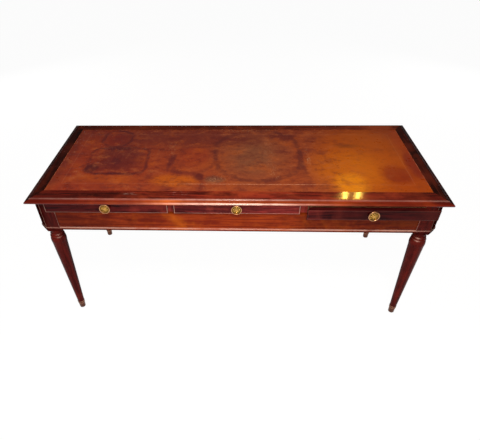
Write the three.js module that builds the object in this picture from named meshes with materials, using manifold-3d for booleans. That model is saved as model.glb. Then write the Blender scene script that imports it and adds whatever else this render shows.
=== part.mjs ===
// A low mahogany table in the antique manner: a leather top in a banded, moulded frame, a shallow
// frieze with three lipped drawers, and four turned, tapering legs in brass caps.
// Lengths are millimetres, +Z is up and the front faces -Y. The right drawer stands a little open.

import * as THREE from 'three';
import { mergeVertices } from 'three/addons/utils/BufferGeometryUtils.js';
import Module from 'manifold-3d';

const wasm = await Module();
wasm.setup();

// Sizes of the whole table, the gap between seated pieces and how far cuts run past a face
const topLength = 1200;
const topDepth = 505;
const tableHeight = 490;
const seatGap = 0.3;
const cutOverrun = 2;

// Top: a panel with mouldings round its edge, bandings laid on it and leather set between them. The
// panel's underside is level with the mouldings'.
const bandingThickness = 4;
const leatherRecess = 0.8;
const sideBorder = 41.5;
const frontBorder = 56;
const backBorder = 49;

// Edge moulding: from a small upper arris out over a hollow to a round nose
const mouldingFlare = 13;
const mouldingFlat = 5;
const mouldingFace = 13;
const arrisRadius = 1.4;
const noseRadius = 4;

// Leg blocks and the rails between them
const blockInset = 12.5;
const blockSize = 62;
const blockCant = 21.5;
const blockFoot = 7.5;
const blockFootInset = 0.8;
const blockFootChamfer = 1.5;
const blockBeadSwell = 1.6;
const railDrop = 113.5;
const railThickness = 20;
const railSetback = 3;
const railBead = 10.5;
const railBeadSwell = 3.4;
const quirk = 1;

// Turned part of a leg, from the block down
const neckRadius = 15.5;
const neckFlare = 2.5;
const neckLength = 16;
const neckTenon = 6;
const coveHeight = 4;
const ringHeight = 5;
const ringSpacing = 4;
const upperRingRadius = 19.5;
const lowerRingRadius = 22;
const ringRelief = 1.8;
const filletHeight = 1.5;
const shoulderHeight = 12;
const shoulderNeckRadius = 20.5;
const shoulderRadius = 23.8;
const shoulderReturn = 8;
const shaftRadius = 22.8;
const footRadius = 9.7;

// Brass cap on a foot
const capHeight = 32;
const capWall = 1.2;
const capSole = 2;
const capSoleRound = 1.2;
const capRimHeight = 3.4;
const capRimSwell = 1;
const capRingDrop = 9;

// Drawers: lipped fronts with a rounded, stepped edge, their ends let into the blocks. The whole row
// stands a little to the right of the table's middle.
const rowShift = 5;
const drawerPull = 25;
const lipClearance = 1.5;
const lipHeight = 33.3;
const lipThickness = 4.6;
const lipRound = 2.2;
const lipStep = 0.7;
const lipOverlap = 4;
const lipSpacing = 16;
const lipOnBlock = 31.5;
const lipPlay = 0.6;

// Drawer boxes: boards dovetailed together, with a bottom held in grooves
const dividerWidth = 24;
const runningClearance = 0.5;
const headroom = 2;
const backRoom = 50;
const frontBody = 12;
const sideBoard = 9;
const backBoard = 8;
const bottomBoard = 3.2;
const grooveDepth = 4;
const grooveRise = 2.6;

// Dovetails, with their places as shares of the board's height
const tailLength = 8;
const tailWidth = 5.6;
const tailSplay = 1.2;
const frontTailShares = [0.27, 0.73];
const backTailShares = [0.3, 0.72];

// Runners and guides that carry the drawers, and glue blocks behind the back apron
const runnerThickness = 12;
const runnerShelf = 16;
const glueBlockLength = 80;
const glueBlockSize = 22;

// Brass knob, a rosette in a rim, and the nut behind the board
const knobRadius = 15.2;
const knobClearance = 0.8;
const knobRise = 3.4;
const knobThickness = 5.2;
const knobEdge = 1.2;
const knobRimWidth = 2.6;
const knobDish = 2;
const knobBossRadius = 4.6;
const knobBossRise = 2;
const knobStemRadius = 6.5;
const knobFootRadius = 9;
const knobFootHeight = 0.9;
const petalRise = 1.7;
const petalMargin = 1.2;
const petalCount = 8;
const shankRadius = 2.4;
const shankProud = 2;
const nutRadius = 4.5;
const nutThickness = 3;

// How finely round shapes are faceted
const legSegments = 24;
const knobSegments = petalCount * 4;
const shankSegments = 12;
const curveSteps = 4;
const nutSides = 6;

// Levels worked out from the sizes above
const panelTop = tableHeight - bandingThickness;
const mouldingUnderside = tableHeight - mouldingFace;
const frameTop = mouldingUnderside - seatGap;
const railBottom = tableHeight - railDrop;
const blockBottom = railBottom - blockFoot;
const lipTop = mouldingUnderside - lipClearance;
const lipBottom = lipTop - lipHeight;
const bayBottom = lipBottom + lipOverlap;
const drawerBottom = bayBottom + seatGap;
const drawerTop = mouldingUnderside - headroom;
const grooveBottom = drawerBottom + grooveRise;
const grooveTop = grooveBottom + bottomBoard + seatGap * 2;

// Places in plan, measured from the middle of the top
const halfLength = topLength / 2;
const halfDepth = topDepth / 2;
const mouldingWidth = mouldingFlare + mouldingFlat;
const panelInset = mouldingWidth + seatGap;
const blockOuterY = halfDepth - blockInset;
const blockInnerX = halfLength - blockInset - blockSize;
const blockInnerY = blockOuterY - blockSize;
const railOuterX = halfLength - blockInset - railSetback;
const railOuterY = halfDepth - blockInset - railSetback;
const railInnerX = railOuterX - railThickness;
const railInnerY = railOuterY - railThickness;
const lipEnd = blockInnerX + lipOnBlock;
const lipWidth = (lipEnd * 2 - lipSpacing * 2) / 3;
const dividerCentre = (lipWidth + lipSpacing) / 2;
const lipBack = -railOuterY - seatGap;

// The origin lies on the floor at the middle of the table's box, the open drawer's knob included
const frontReach = drawerPull + lipThickness + knobRise + knobThickness - lipBack;
const originShift = (frontReach - halfDepth) / 2;

// Finishes
const finish = (color, roughness, metalness) =>
  new THREE.MeshStandardMaterial({ color, roughness, metalness });
const mahogany = () => finish(0x5a1e14, 0.25, 0);
const darkMahogany = () => finish(0x2c0f0b, 0.22, 0);
const drawerMahogany = () => finish(0x47161a, 0.25, 0);
const leather = () => finish(0x8a3f20, 0.4, 0);
const plainWood = () => finish(0x8c6540, 0.7, 0);
const brass = () => finish(0xb08d48, 0.35, 0.9);

const table = new THREE.Group();
table.position.y = originShift;

// Adds a named mesh to the table or to one of its drawers.
function addPiece(name, geometry, material, group = table) {
  const mesh = new THREE.Mesh(geometry, material);
  mesh.name = name;
  group.add(mesh);
  return mesh;
}

// A box between two opposite corners, the lower one first.
function boxBetween([x0, y0, z0], [x1, y1, z1]) {
  const geometry = new THREE.BoxGeometry(x1 - x0, y1 - y0, z1 - z0);
  geometry.translate((x0 + x1) / 2, (y0 + y1) / 2, (z0 + z1) / 2);
  return geometry;
}

// A shape through [a, b] points.
function shapeThrough(points) {
  return new THREE.Shape(points.map(([a, b]) => new THREE.Vector2(a, b)));
}

// A prism on [x, y] points in plan, between two heights.
function uprightPrism(points, bottom, top) {
  const settings = { depth: top - bottom, bevelEnabled: false };
  const geometry = new THREE.ExtrudeGeometry(shapeThrough(points), settings);
  geometry.translate(0, 0, bottom);
  return geometry;
}

// A prism on [y, z] points that runs along X.
function prismAlongX(points, from, to) {
  const settings = { depth: to - from, bevelEnabled: false };
  const geometry = new THREE.ExtrudeGeometry(shapeThrough(points), settings);
  const turn = new THREE.Matrix4().makeBasis(
    new THREE.Vector3(0, 1, 0), new THREE.Vector3(0, 0, 1), new THREE.Vector3(1, 0, 0));
  geometry.applyMatrix4(turn);
  geometry.translate(from, 0, 0);
  return geometry;
}

// A turned shape about Y, from [radius, height] points that start and end on the axis.
function turned(points, segments) {
  return new THREE.LatheGeometry(points.map(([radius, height]) => new THREE.Vector2(radius, height)), segments);
}

// A solid through a stack of like convex sections, each an outline with its height.
function lofted(levels) {
  const count = levels[0].section.length;
  const positions = levels.flatMap(({ section, height }) => section.flatMap(([x, y]) => [x, y, height]));
  const index = [];
  for (let level = 0; level < levels.length - 1; level += 1) {
    for (let point = 0; point < count; point += 1) {
      const here = level * count + point;
      const next = level * count + (point + 1) % count;
      index.push(here, next, here + count, next, next + count, here + count);
    }
  }
  const last = (levels.length - 1) * count;
  for (let point = 1; point < count - 1; point += 1) {
    index.push(0, point + 1, point, last, last + point, last + point + 1);
  }
  const geometry = new THREE.BufferGeometry();
  geometry.setAttribute('position', new THREE.Float32BufferAttribute(positions, 3));
  geometry.setIndex(index);
  return geometry;
}

// Points on a quarter or half of an ellipse, between two angles in degrees.
function arc([centreA, centreB], [radiusA, radiusB], fromDegrees, toDegrees, steps = curveSteps) {
  return Array.from({ length: steps + 1 }, (_, step) => {
    const angle = THREE.MathUtils.degToRad(fromDegrees + (toDegrees - fromDegrees) * step / steps);
    return [centreA + radiusA * Math.cos(angle), centreB + radiusB * Math.sin(angle)];
  });
}

// A closed mesh as a solid that can be cut and joined, and back again.
function toSolid(geometry) {
  const bare = geometry.clone();
  bare.deleteAttribute('normal');
  bare.deleteAttribute('uv');
  const merged = mergeVertices(bare);
  const corners = Array.from(merged.index.array);
  const triangles = [];
  for (let place = 0; place < corners.length; place += 3) {
    const [a, b, c] = corners.slice(place, place + 3);
    if (a !== b && b !== c && c !== a) {
      triangles.push(a, b, c);
    }
  }
  return new wasm.Manifold(new wasm.Mesh({
    numProp: 3,
    vertProperties: Float32Array.from(merged.attributes.position.array),
    triVerts: Uint32Array.from(triangles),
  }));
}

function toGeometry(solid) {
  const mesh = solid.getMesh();
  const geometry = new THREE.BufferGeometry();
  geometry.setAttribute('position', new THREE.BufferAttribute(mesh.vertProperties, 3));
  geometry.setIndex(new THREE.BufferAttribute(mesh.triVerts, 1));
  geometry.computeVertexNormals();
  return geometry;
}

const joined = (first, others) => others.reduce((solid, other) => solid.add(toSolid(other)), first);
const cutAway = (first, tools) => tools.reduce((solid, tool) => solid.subtract(toSolid(tool)), first);

// Section of the edge moulding as [inset, height] points, the inset counted from the outer edge.
function mouldingSection() {
  const noseTop = mouldingUnderside + noseRadius * 2;
  const arrisFoot = tableHeight - arrisRadius;
  const hollowWidth = mouldingFlare - noseRadius;
  return [
    [mouldingWidth, mouldingUnderside],
    [mouldingWidth, tableHeight],
    ...arc([mouldingFlare + arrisRadius, arrisFoot], [arrisRadius, arrisRadius], 90, 180, curveSteps / 2),
    ...arc([noseRadius, arrisFoot], [hollowWidth, noseTop - arrisFoot], 0, 90).slice(1),
    ...arc([noseRadius, mouldingUnderside + noseRadius], [noseRadius, noseRadius], 90, 270, curveSteps * 2).slice(1),
  ];
}

// Slants both ends of a piece that lies along X, so that its neighbours meet it in a mitre.
function mitred(geometry, length, outerEdge) {
  const { position } = geometry.attributes;
  const mitreGap = seatGap / Math.SQRT2;
  for (let point = 0; point < position.count; point += 1) {
    const inset = position.getY(point) + outerEdge;
    const end = length / 2 - inset - mitreGap;
    position.setX(point, Math.sign(position.getX(point)) * end);
  }
  return geometry;
}

// Four mouldings, mitred at the corners
function addMouldings() {
  const sides = [
    { side: 'front', length: topLength, outerEdge: halfDepth },
    { side: 'right', length: topDepth, outerEdge: halfLength },
    { side: 'back', length: topLength, outerEdge: halfDepth },
    { side: 'left', length: topDepth, outerEdge: halfLength },
  ];
  sides.forEach(({ side, length, outerEdge }, quarter) => {
    const section = mouldingSection().map(([inset, height]) => [inset - outerEdge, height]);
    const geometry = mitred(prismAlongX(section, -length / 2, length / 2), length, outerEdge);
    geometry.rotateZ(quarter * Math.PI / 2);
    geometry.computeVertexNormals();
    addPiece(`edge_moulding_${side}`, geometry, mahogany());
  });
}

// Panel, bandings and leather
function addTop() {
  const outerX = halfLength - panelInset;
  const outerY = halfDepth - panelInset;
  addPiece('top_panel', boxBetween(
    [-outerX, -outerY, mouldingUnderside], [outerX, outerY, panelTop - seatGap]), plainWood());

  const leatherX = halfLength - sideBorder;
  const leatherFront = frontBorder - halfDepth;
  const leatherBack = halfDepth - backBorder;
  const innerX = leatherX + seatGap;
  const innerFront = leatherFront - seatGap;
  const innerBack = leatherBack + seatGap;
  const bandings = {
    front: [[seatGap - outerX, -outerY], [outerX - seatGap, -outerY],
      [innerX - seatGap, innerFront], [seatGap - innerX, innerFront]],
    right: [[outerX, -outerY], [outerX, outerY], [innerX, innerBack], [innerX, innerFront]],
    back: [[seatGap - innerX, innerBack], [innerX - seatGap, innerBack],
      [outerX - seatGap, outerY], [seatGap - outerX, outerY]],
    left: [[-outerX, -outerY], [-innerX, innerFront], [-innerX, innerBack], [-outerX, outerY]],
  };
  for (const [side, outline] of Object.entries(bandings)) {
    addPiece(`banding_${side}`, uprightPrism(outline, panelTop, tableHeight), darkMahogany());
  }
  addPiece('leather_inset', boxBetween(
    [-leatherX, leatherFront, panelTop], [leatherX, leatherBack, tableHeight - leatherRecess]), leather());
}

// Section of a block: a square whose outer corner, at -X -Y, is canted. Only its outer faces swell.
function blockSection(swell) {
  const half = blockSize / 2;
  const outer = half + swell;
  const corner = blockCant + swell * (2 - Math.SQRT2);
  return [
    [corner - outer, -outer], [half, -outer], [half, half], [-outer, half], [-outer, corner - outer],
  ];
}

// A block with a bead at the level of the rails' bead, and a short plain foot under it
function legBlock() {
  const beadSteps = curveSteps * 2;
  const beadLevels = arc([0, railBottom + railBead / 2], [blockBeadSwell, railBead / 2], -90, 90, beadSteps);
  const beadTop = railBottom + railBead;
  return lofted([
    { section: blockSection(-blockFootInset - blockFootChamfer), height: blockBottom },
    { section: blockSection(-blockFootInset), height: blockBottom + blockFootChamfer },
    { section: blockSection(-blockFootInset), height: railBottom },
    ...beadLevels.map(([swell, height]) => ({ section: blockSection(swell), height })).slice(1),
    { section: blockSection(-quirk), height: beadTop + quirk / 2 },
    { section: blockSection(0), height: beadTop + quirk },
    { section: blockSection(0), height: frameTop },
  ]);
}

// Heights along the turning, and the radius of its straight taper at any height
const neckFoot = blockBottom - neckLength;
const upperRingFoot = neckFoot - coveHeight - ringHeight;
const lowerRingFoot = upperRingFoot - ringSpacing - ringHeight;
const shoulderCentre = lowerRingFoot - filletHeight - shoulderHeight;
const shaftTop = shoulderCentre - shoulderReturn;
const taperRadius = (height) => footRadius + (shaftRadius - footRadius) * height / shaftTop;

// Profile of the turning, from the spigot inside the cap up into the block
function legProfile() {
  const spigotInset = capWall + seatGap;
  const spigotFoot = capSole + seatGap;
  const capMouth = capHeight + seatGap;
  const ring = (radius, foot) => arc(
    [radius - ringHeight / 2, foot + ringHeight / 2], [ringHeight / 2, ringHeight / 2], -90, 90);
  const shoulderSwell = shoulderRadius - shaftRadius;
  const shoulderWidth = shoulderRadius - shoulderNeckRadius;
  return [
    [0, spigotFoot],
    [taperRadius(spigotFoot) - spigotInset, spigotFoot],
    [taperRadius(capMouth) - spigotInset, capMouth],
    [taperRadius(capMouth), capMouth],
    ...arc([shaftRadius, shoulderCentre], [shoulderSwell, shoulderReturn], -90, 0, curveSteps / 2),
    ...arc([shoulderNeckRadius, shoulderCentre], [shoulderWidth, shoulderHeight], 0, 90).slice(1),
    [lowerRingRadius - ringRelief, lowerRingFoot - filletHeight / 2],
    ...ring(lowerRingRadius, lowerRingFoot),
    [upperRingRadius - ringRelief, upperRingFoot - ringSpacing / 2],
    ...ring(upperRingRadius, upperRingFoot),
    [neckRadius, neckFoot],
    [neckRadius, blockBottom - neckFlare],
    [neckRadius + neckFlare, blockBottom],
    [neckRadius + neckFlare, blockBottom + neckTenon],
    [0, blockBottom + neckTenon],
  ];
}

// Profile of a brass cap: a cup with a rim at its mouth and a thin ring below that
function capProfile() {
  const ringCentre = capHeight - capRingDrop;
  const ringHalf = capRimHeight / 2;
  const rimFoot = capHeight - capRimHeight;
  const rimEdge = capRimHeight / 4;
  return [
    [0, 0],
    [taperRadius(0) - capSoleRound, 0],
    [taperRadius(capSoleRound), capSoleRound],
    [taperRadius(ringCentre - ringHalf), ringCentre - ringHalf],
    [taperRadius(ringCentre) + capRimSwell, ringCentre],
    [taperRadius(ringCentre + ringHalf), ringCentre + ringHalf],
    [taperRadius(rimFoot), rimFoot],
    [taperRadius(rimFoot) + capRimSwell, rimFoot + rimEdge],
    [taperRadius(capHeight) + capRimSwell, capHeight - rimEdge],
    [taperRadius(capHeight), capHeight],
    [taperRadius(capHeight) - capWall, capHeight],
    [taperRadius(capSole) - capWall, capSole],
    [0, capSole],
  ];
}

// The rebate in a block for the covering end of a drawer's lip, as deep as the rail is set back
function lipRebate(cover) {
  const half = blockSize / 2;
  return boxBetween(
    [half - cover - lipPlay, -half - cutOverrun, lipBottom - lipPlay],
    [half + cutOverrun, railSetback - half, frameTop + cutOverrun]);
}

// Four legs in their caps, each turned so that its canted corner looks outwards
function addLegs() {
  const turning = turned(legProfile(), legSegments).rotateX(Math.PI / 2);
  const leg = joined(toSolid(legBlock()), [turning]);
  const cap = turned(capProfile(), legSegments).rotateX(Math.PI / 2);
  const centreX = halfLength - blockInset - blockSize / 2;
  const centreY = blockOuterY - blockSize / 2;
  const rebateLeft = lipRebate(lipOnBlock - rowShift);
  const rebateRight = toGeometry(toSolid(lipRebate(lipOnBlock + rowShift)).mirror([1, -1, 0]));
  const corners = [
    { corner: 'front_left', x: -centreX, y: -centreY, cuts: [rebateLeft] },
    { corner: 'front_right', x: centreX, y: -centreY, cuts: [rebateRight] },
    { corner: 'back_right', x: centreX, y: centreY, cuts: [] },
    { corner: 'back_left', x: -centreX, y: centreY, cuts: [] },
  ];
  corners.forEach(({ corner, x, y, cuts }, quarter) => {
    const pieces = [
      addPiece(`leg_${corner}`, toGeometry(cutAway(leg, cuts)), mahogany()),
      addPiece(`foot_cap_${corner}`, cap.clone(), brass()),
    ];
    for (const piece of pieces) {
      piece.position.set(x, y, 0);
      piece.rotation.z = quarter * Math.PI / 2;
    }
  });
}

// Section of a rail as [depth behind its face, height] points, with the bead along its foot
function railSection(top) {
  const beadTop = railBottom + railBead;
  return [
    [railThickness, top],
    [railThickness, railBottom],
    ...arc([0, railBottom + railBead / 2], [-railBeadSwell, railBead / 2], -90, 90, curveSteps * 2),
    [quirk, beadTop + quirk / 2],
    [0, beadTop + quirk],
    [0, top],
  ];
}

// Front rail under the drawers, and the deeper aprons on the other three sides
function addRails() {
  const longHalf = blockInnerX - seatGap;
  const shortHalf = blockInnerY - seatGap;
  const rails = [
    { name: 'front_rail', half: longHalf, outer: railOuterY, top: bayBottom },
    { name: 'side_apron_right', half: shortHalf, outer: railOuterX, top: frameTop },
    { name: 'back_apron', half: longHalf, outer: railOuterY, top: frameTop },
    { name: 'side_apron_left', half: shortHalf, outer: railOuterX, top: frameTop },
  ];
  rails.forEach(({ name, half, outer, top }, quarter) => {
    const section = railSection(top).map(([depth, height]) => [depth - outer, height]);
    addPiece(name, prismAlongX(section, -half, half).rotateZ(quarter * Math.PI / 2), mahogany());
  });
}

// Inside the frame: dividers between the drawers, runners under them and guides beside them
function addCarcase() {
  const inside = railInnerY - seatGap;
  const cheek = blockInnerY - seatGap;
  const runnerTop = bayBottom;
  const runnerBottom = runnerTop - runnerThickness;
  const halfDivider = dividerWidth / 2;
  const halfRunner = halfDivider + runnerShelf;
  for (const [side, direction] of [['left', -1], ['right', 1]]) {
    const centre = rowShift + direction * dividerCentre;
    addPiece(`divider_${side}`, boxBetween(
      [centre - halfDivider, -railOuterY, runnerTop + seatGap],
      [centre + halfDivider, inside, frameTop]), mahogany());
    addPiece(`divider_runner_${side}`, boxBetween(
      [centre - halfRunner, -inside, runnerBottom],
      [centre + halfRunner, inside, runnerTop]), plainWood());

    const shelfX = direction * (blockInnerX - runnerShelf);
    const notchX = direction * (blockInnerX - seatGap);
    const outerX = direction * (railInnerX - seatGap);
    addPiece(`side_runner_${side}`, uprightPrism([
      [shelfX, -inside], [notchX, -inside], [notchX, -cheek], [outerX, -cheek],
      [outerX, cheek], [notchX, cheek], [notchX, inside], [shelfX, inside],
    ], runnerBottom, runnerTop), plainWood());
    const guideX = direction * blockInnerX;
    addPiece(`side_guide_${side}`, boxBetween(
      [Math.min(guideX, outerX), -cheek, runnerTop + seatGap],
      [Math.max(guideX, outerX), cheek, frameTop]), plainWood());
  }
  for (const [place, share] of [['left', -1], ['middle', 0], ['right', 1]]) {
    const centre = share * dividerCentre * 2;
    addPiece(`glue_block_${place}`, prismAlongX([
      [inside, frameTop], [inside - glueBlockSize, frameTop], [inside, frameTop - glueBlockSize],
    ], centre - glueBlockLength / 2, centre + glueBlockLength / 2), plainWood());
  }
}

// Dovetails on a board that ends at a shoulder, as prisms through its thickness. They point along
// Y one way or the other, grow wider by a slack all round and run past their root and tip.
function dovetails({ shoulder, direction, length, shares, foot, top, from, to, slack, rootRun, tipRun }) {
  const halfAt = (distance) => tailWidth / 2 + tailSplay * distance / length + slack;
  return shares.map((share) => {
    const middle = foot + (top - foot) * share;
    const root = shoulder - direction * rootRun;
    const tip = shoulder + direction * (length + tipRun);
    const rootHalf = halfAt(-rootRun);
    const tipHalf = halfAt(length + tipRun);
    return prismAlongX([
      [root, middle - rootHalf], [tip, middle - tipHalf], [tip, middle + tipHalf], [root, middle + rootHalf],
    ], from, to);
  });
}

// A lipped board: its edges are rounded and then stepped up to a plain field. It faces -Y.
function lippedBoard(from, to) {
  const field = lipThickness - lipStep;
  const levelAt = (inset, height) => ({
    section: [
      [from + inset, lipBottom + inset], [to - inset, lipBottom + inset],
      [to - inset, lipTop - inset], [from + inset, lipTop - inset],
    ],
    height,
  });
  const rounding = arc([lipRound, field - lipRound], [-lipRound, lipRound], 0, 90);
  return lofted([
    levelAt(0, 0),
    ...rounding.map(([inset, height]) => levelAt(inset, height)),
    levelAt(lipRound + lipStep / 2, field - lipStep / 2),
    levelAt(lipRound + lipStep, lipThickness),
  ]).rotateX(Math.PI / 2);
}

// A knob that faces -Y: a disc on a stem, with a rim round eight petals and a boss, and its shank
function knobGeometry() {
  const face = knobRise + knobThickness;
  const floor = face - knobDish;
  const rimHalf = knobRimWidth / 2;
  const petalOuter = knobRadius - knobRimWidth - petalMargin;
  const petalInner = knobBossRadius + petalMargin;
  const petalMiddle = (petalOuter + petalInner) / 2;
  const shankEnd = lipThickness + frontBody + seatGap + nutThickness + shankProud;
  const geometry = turned([
    [0, -shankEnd],
    [shankRadius, -shankEnd],
    [shankRadius, seatGap],
    [knobFootRadius, seatGap],
    [knobFootRadius, knobFootHeight],
    [knobStemRadius, knobFootHeight * 2],
    [knobStemRadius, knobRise - knobEdge],
    [knobRadius - knobEdge, knobRise],
    [knobRadius, knobRise + knobEdge],
    ...arc([knobRadius - rimHalf, face - rimHalf], [rimHalf, rimHalf], 0, 180),
    [petalOuter, floor],
    [petalMiddle, floor],
    [petalInner, floor],
    ...arc([0, floor], [knobBossRadius, knobBossRise], 0, 90, curveSteps - 1),
  ], knobSegments);
  const { position } = geometry.attributes;
  for (let point = 0; point < position.count; point += 1) {
    const radius = Math.hypot(position.getX(point), position.getZ(point));
    const across = (radius - petalInner) / (petalOuter - petalInner);
    if (position.getY(point) >= floor && across > 0 && across < 1) {
      const angle = Math.atan2(position.getX(point), position.getZ(point));
      const crest = (1 + Math.cos(petalCount * angle)) / 2;
      position.setY(point, position.getY(point) + petalRise * crest * Math.sin(Math.PI * across));
    }
  }
  return geometry.rotateX(Math.PI);
}

// A six-sided nut on the shank, behind the board
function nutGeometry() {
  const outline = shapeThrough(arc([0, 0], [nutRadius, nutRadius], 0, 360, nutSides).slice(1));
  const hole = arc([0, 0], [shankRadius + seatGap, shankRadius + seatGap], 0, 360, shankSegments).slice(1);
  outline.holes.push(new THREE.Path(hole.map(([x, y]) => new THREE.Vector2(x, y))));
  return new THREE.ExtrudeGeometry(outline, { depth: nutThickness, bevelEnabled: false }).rotateX(-Math.PI / 2);
}

// One drawer, in a group whose zero in Y is the back of its lips
function addDrawer({ name, lip: [lipFrom, lipTo], bay: [bayFrom, bayTo], pull }) {
  const drawer = new THREE.Group();
  drawer.position.y = lipBack - pull;
  table.add(drawer);
  const boxFrom = bayFrom + runningClearance;
  const boxTo = bayTo - runningClearance;
  const innerFrom = boxFrom + sideBoard;
  const innerTo = boxTo - sideBoard;
  const shoulder = frontBody + seatGap;
  const boxEnd = railInnerY - backRoom - lipBack;
  const backFront = boxEnd - backBoard;
  const sides = [
    { side: 'left', outer: boxFrom, inner: innerFrom, direction: 1 },
    { side: 'right', outer: boxTo, inner: innerTo, direction: -1 },
  ];

  // Joints shared by the boards: plain tails for the sides, larger ones for the sockets
  const ordered = (a, b) => ({ from: Math.min(a, b), to: Math.max(a, b) });
  const frontJoint = {
    shoulder, direction: -1, length: tailLength, shares: frontTailShares, foot: drawerBottom, top: drawerTop,
  };
  const backJoint = {
    shoulder: backFront, direction: 1, length: backBoard, shares: backTailShares, foot: grooveTop, top: drawerTop,
  };
  const tails = (joint, { outer, inner }, tipRun) => dovetails({
    ...joint, ...ordered(outer, inner), slack: 0, rootRun: cutOverrun, tipRun,
  });
  const sockets = (joint, { outer, inner, direction }, tipRun) => dovetails({
    ...joint, ...ordered(outer - direction * cutOverrun, inner + direction * seatGap),
    slack: seatGap, rootRun: cutOverrun, tipRun,
  });
  const grooveFrom = innerFrom - grooveDepth;
  const grooveTo = innerTo + grooveDepth;
  const groove = boxBetween(
    [grooveFrom, frontBody - grooveDepth, grooveBottom],
    [grooveTo, boxEnd + cutOverrun, grooveTop]);

  const knobX = (lipFrom + lipTo) / 2;
  const knobZ = mouldingUnderside - knobClearance - knobRadius;
  const shankHole = new THREE.CylinderGeometry(
    shankRadius + seatGap, shankRadius + seatGap, (lipThickness + frontBody) * 2, shankSegments);
  shankHole.translate(knobX, 0, knobZ);
  const frontBlank = joined(toSolid(lippedBoard(lipFrom, lipTo)), [
    boxBetween([boxFrom, -lipThickness / 2, drawerBottom], [boxTo, frontBody, drawerTop]),
  ]);
  const front = cutAway(frontBlank, [
    ...sides.flatMap((side) => sockets(frontJoint, side, seatGap)), groove, shankHole,
  ]);
  addPiece(`${name}_front`, toGeometry(front), drawerMahogany(), drawer);

  for (const place of sides) {
    const { from, to } = ordered(place.outer, place.inner);
    const blank = joined(
      toSolid(boxBetween([from, shoulder, drawerBottom], [to, boxEnd, drawerTop])),
      tails(frontJoint, place, -seatGap));
    const waste = cutAway(toSolid(boxBetween(
      [from - cutOverrun, backFront - seatGap, grooveTop - seatGap],
      [to + cutOverrun, boxEnd + cutOverrun, drawerTop + cutOverrun])), tails(backJoint, place, cutOverrun));
    const board = cutAway(blank, [toGeometry(waste), groove]);
    addPiece(`${name}_side_${place.side}`, toGeometry(board), plainWood(), drawer);
  }

  const back = cutAway(
    toSolid(boxBetween([boxFrom, backFront, grooveTop], [boxTo, boxEnd, drawerTop])),
    sides.flatMap((side) => sockets(backJoint, side, cutOverrun)));
  addPiece(`${name}_back`, toGeometry(back), plainWood(), drawer);
  addPiece(`${name}_bottom`, boxBetween(
    [grooveFrom + seatGap, frontBody - grooveDepth + seatGap, grooveBottom + seatGap],
    [grooveTo - seatGap, boxEnd, grooveTop - seatGap]), plainWood(), drawer);

  addPiece(`${name}_knob`, knobGeometry(), brass(), drawer).position.set(knobX, -lipThickness, knobZ);
  addPiece(`${name}_nut`, nutGeometry(), brass(), drawer).position.set(knobX, frontBody + seatGap, knobZ);
}

// Three drawers in their bays
function addDrawers() {
  const dividerNear = dividerCentre - dividerWidth / 2;
  const dividerFar = dividerCentre + dividerWidth / 2;
  const row = [
    { name: 'drawer_left', middle: -lipWidth - lipSpacing, bay: [-blockInnerX, rowShift - dividerFar], pull: 0 },
    { name: 'drawer_middle', middle: 0, bay: [rowShift - dividerNear, rowShift + dividerNear], pull: 0 },
    { name: 'drawer_right', middle: lipWidth + lipSpacing, bay: [rowShift + dividerFar, blockInnerX], pull: drawerPull },
  ];
  for (const { name, middle, bay, pull } of row) {
    const centre = rowShift + middle;
    addDrawer({ name, lip: [centre - lipWidth / 2, centre + lipWidth / 2], bay, pull });
  }
}

addTop();
addMouldings();
addLegs();
addRails();
addCarcase();
addDrawers();

export default table;
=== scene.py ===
# %% [markdown]
# # A coffee table with a leather top
# This is a low mahogany table with a leather top, three shallow drawers and turned legs in brass caps.
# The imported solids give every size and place. Here they get finer surfaces and their finishes, one
# piece after another. Lengths are metres, +Z is up and the front faces -Y.

import bmesh
import bpy
import numpy as np
from mathutils import Matrix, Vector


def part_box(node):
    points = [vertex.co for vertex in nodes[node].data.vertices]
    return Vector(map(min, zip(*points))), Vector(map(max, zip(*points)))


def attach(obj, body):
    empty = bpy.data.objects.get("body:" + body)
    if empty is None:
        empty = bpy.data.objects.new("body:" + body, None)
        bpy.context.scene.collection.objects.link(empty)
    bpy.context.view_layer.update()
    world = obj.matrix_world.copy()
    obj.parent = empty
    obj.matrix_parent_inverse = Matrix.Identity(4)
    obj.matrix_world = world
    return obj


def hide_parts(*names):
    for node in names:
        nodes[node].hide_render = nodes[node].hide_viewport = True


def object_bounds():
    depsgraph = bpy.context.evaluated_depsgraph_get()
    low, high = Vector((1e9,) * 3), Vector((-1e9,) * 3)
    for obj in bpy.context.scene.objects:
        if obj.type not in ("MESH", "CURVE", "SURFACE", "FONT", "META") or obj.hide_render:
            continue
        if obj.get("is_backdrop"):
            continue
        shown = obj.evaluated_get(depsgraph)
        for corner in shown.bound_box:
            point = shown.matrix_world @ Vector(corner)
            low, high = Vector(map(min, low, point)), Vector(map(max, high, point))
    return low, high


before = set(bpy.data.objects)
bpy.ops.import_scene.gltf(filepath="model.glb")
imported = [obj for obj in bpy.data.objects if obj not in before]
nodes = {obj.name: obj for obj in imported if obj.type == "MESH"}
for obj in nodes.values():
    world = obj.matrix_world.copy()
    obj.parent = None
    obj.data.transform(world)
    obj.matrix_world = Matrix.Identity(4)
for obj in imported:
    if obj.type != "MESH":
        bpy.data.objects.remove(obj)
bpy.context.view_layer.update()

# %% [markdown]
# ## The sizes of the top
# Most pieces are placed from the outline of the top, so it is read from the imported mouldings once. The
# top's middle lies a little behind the origin, because the open drawer reaches out in front.

# %% Sizes of the top
TABLE_HEIGHT = 0.49


def corners(node):
    """A solid's lowest and highest corner, as arrays."""
    return tuple(np.array(corner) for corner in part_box(node))


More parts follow.
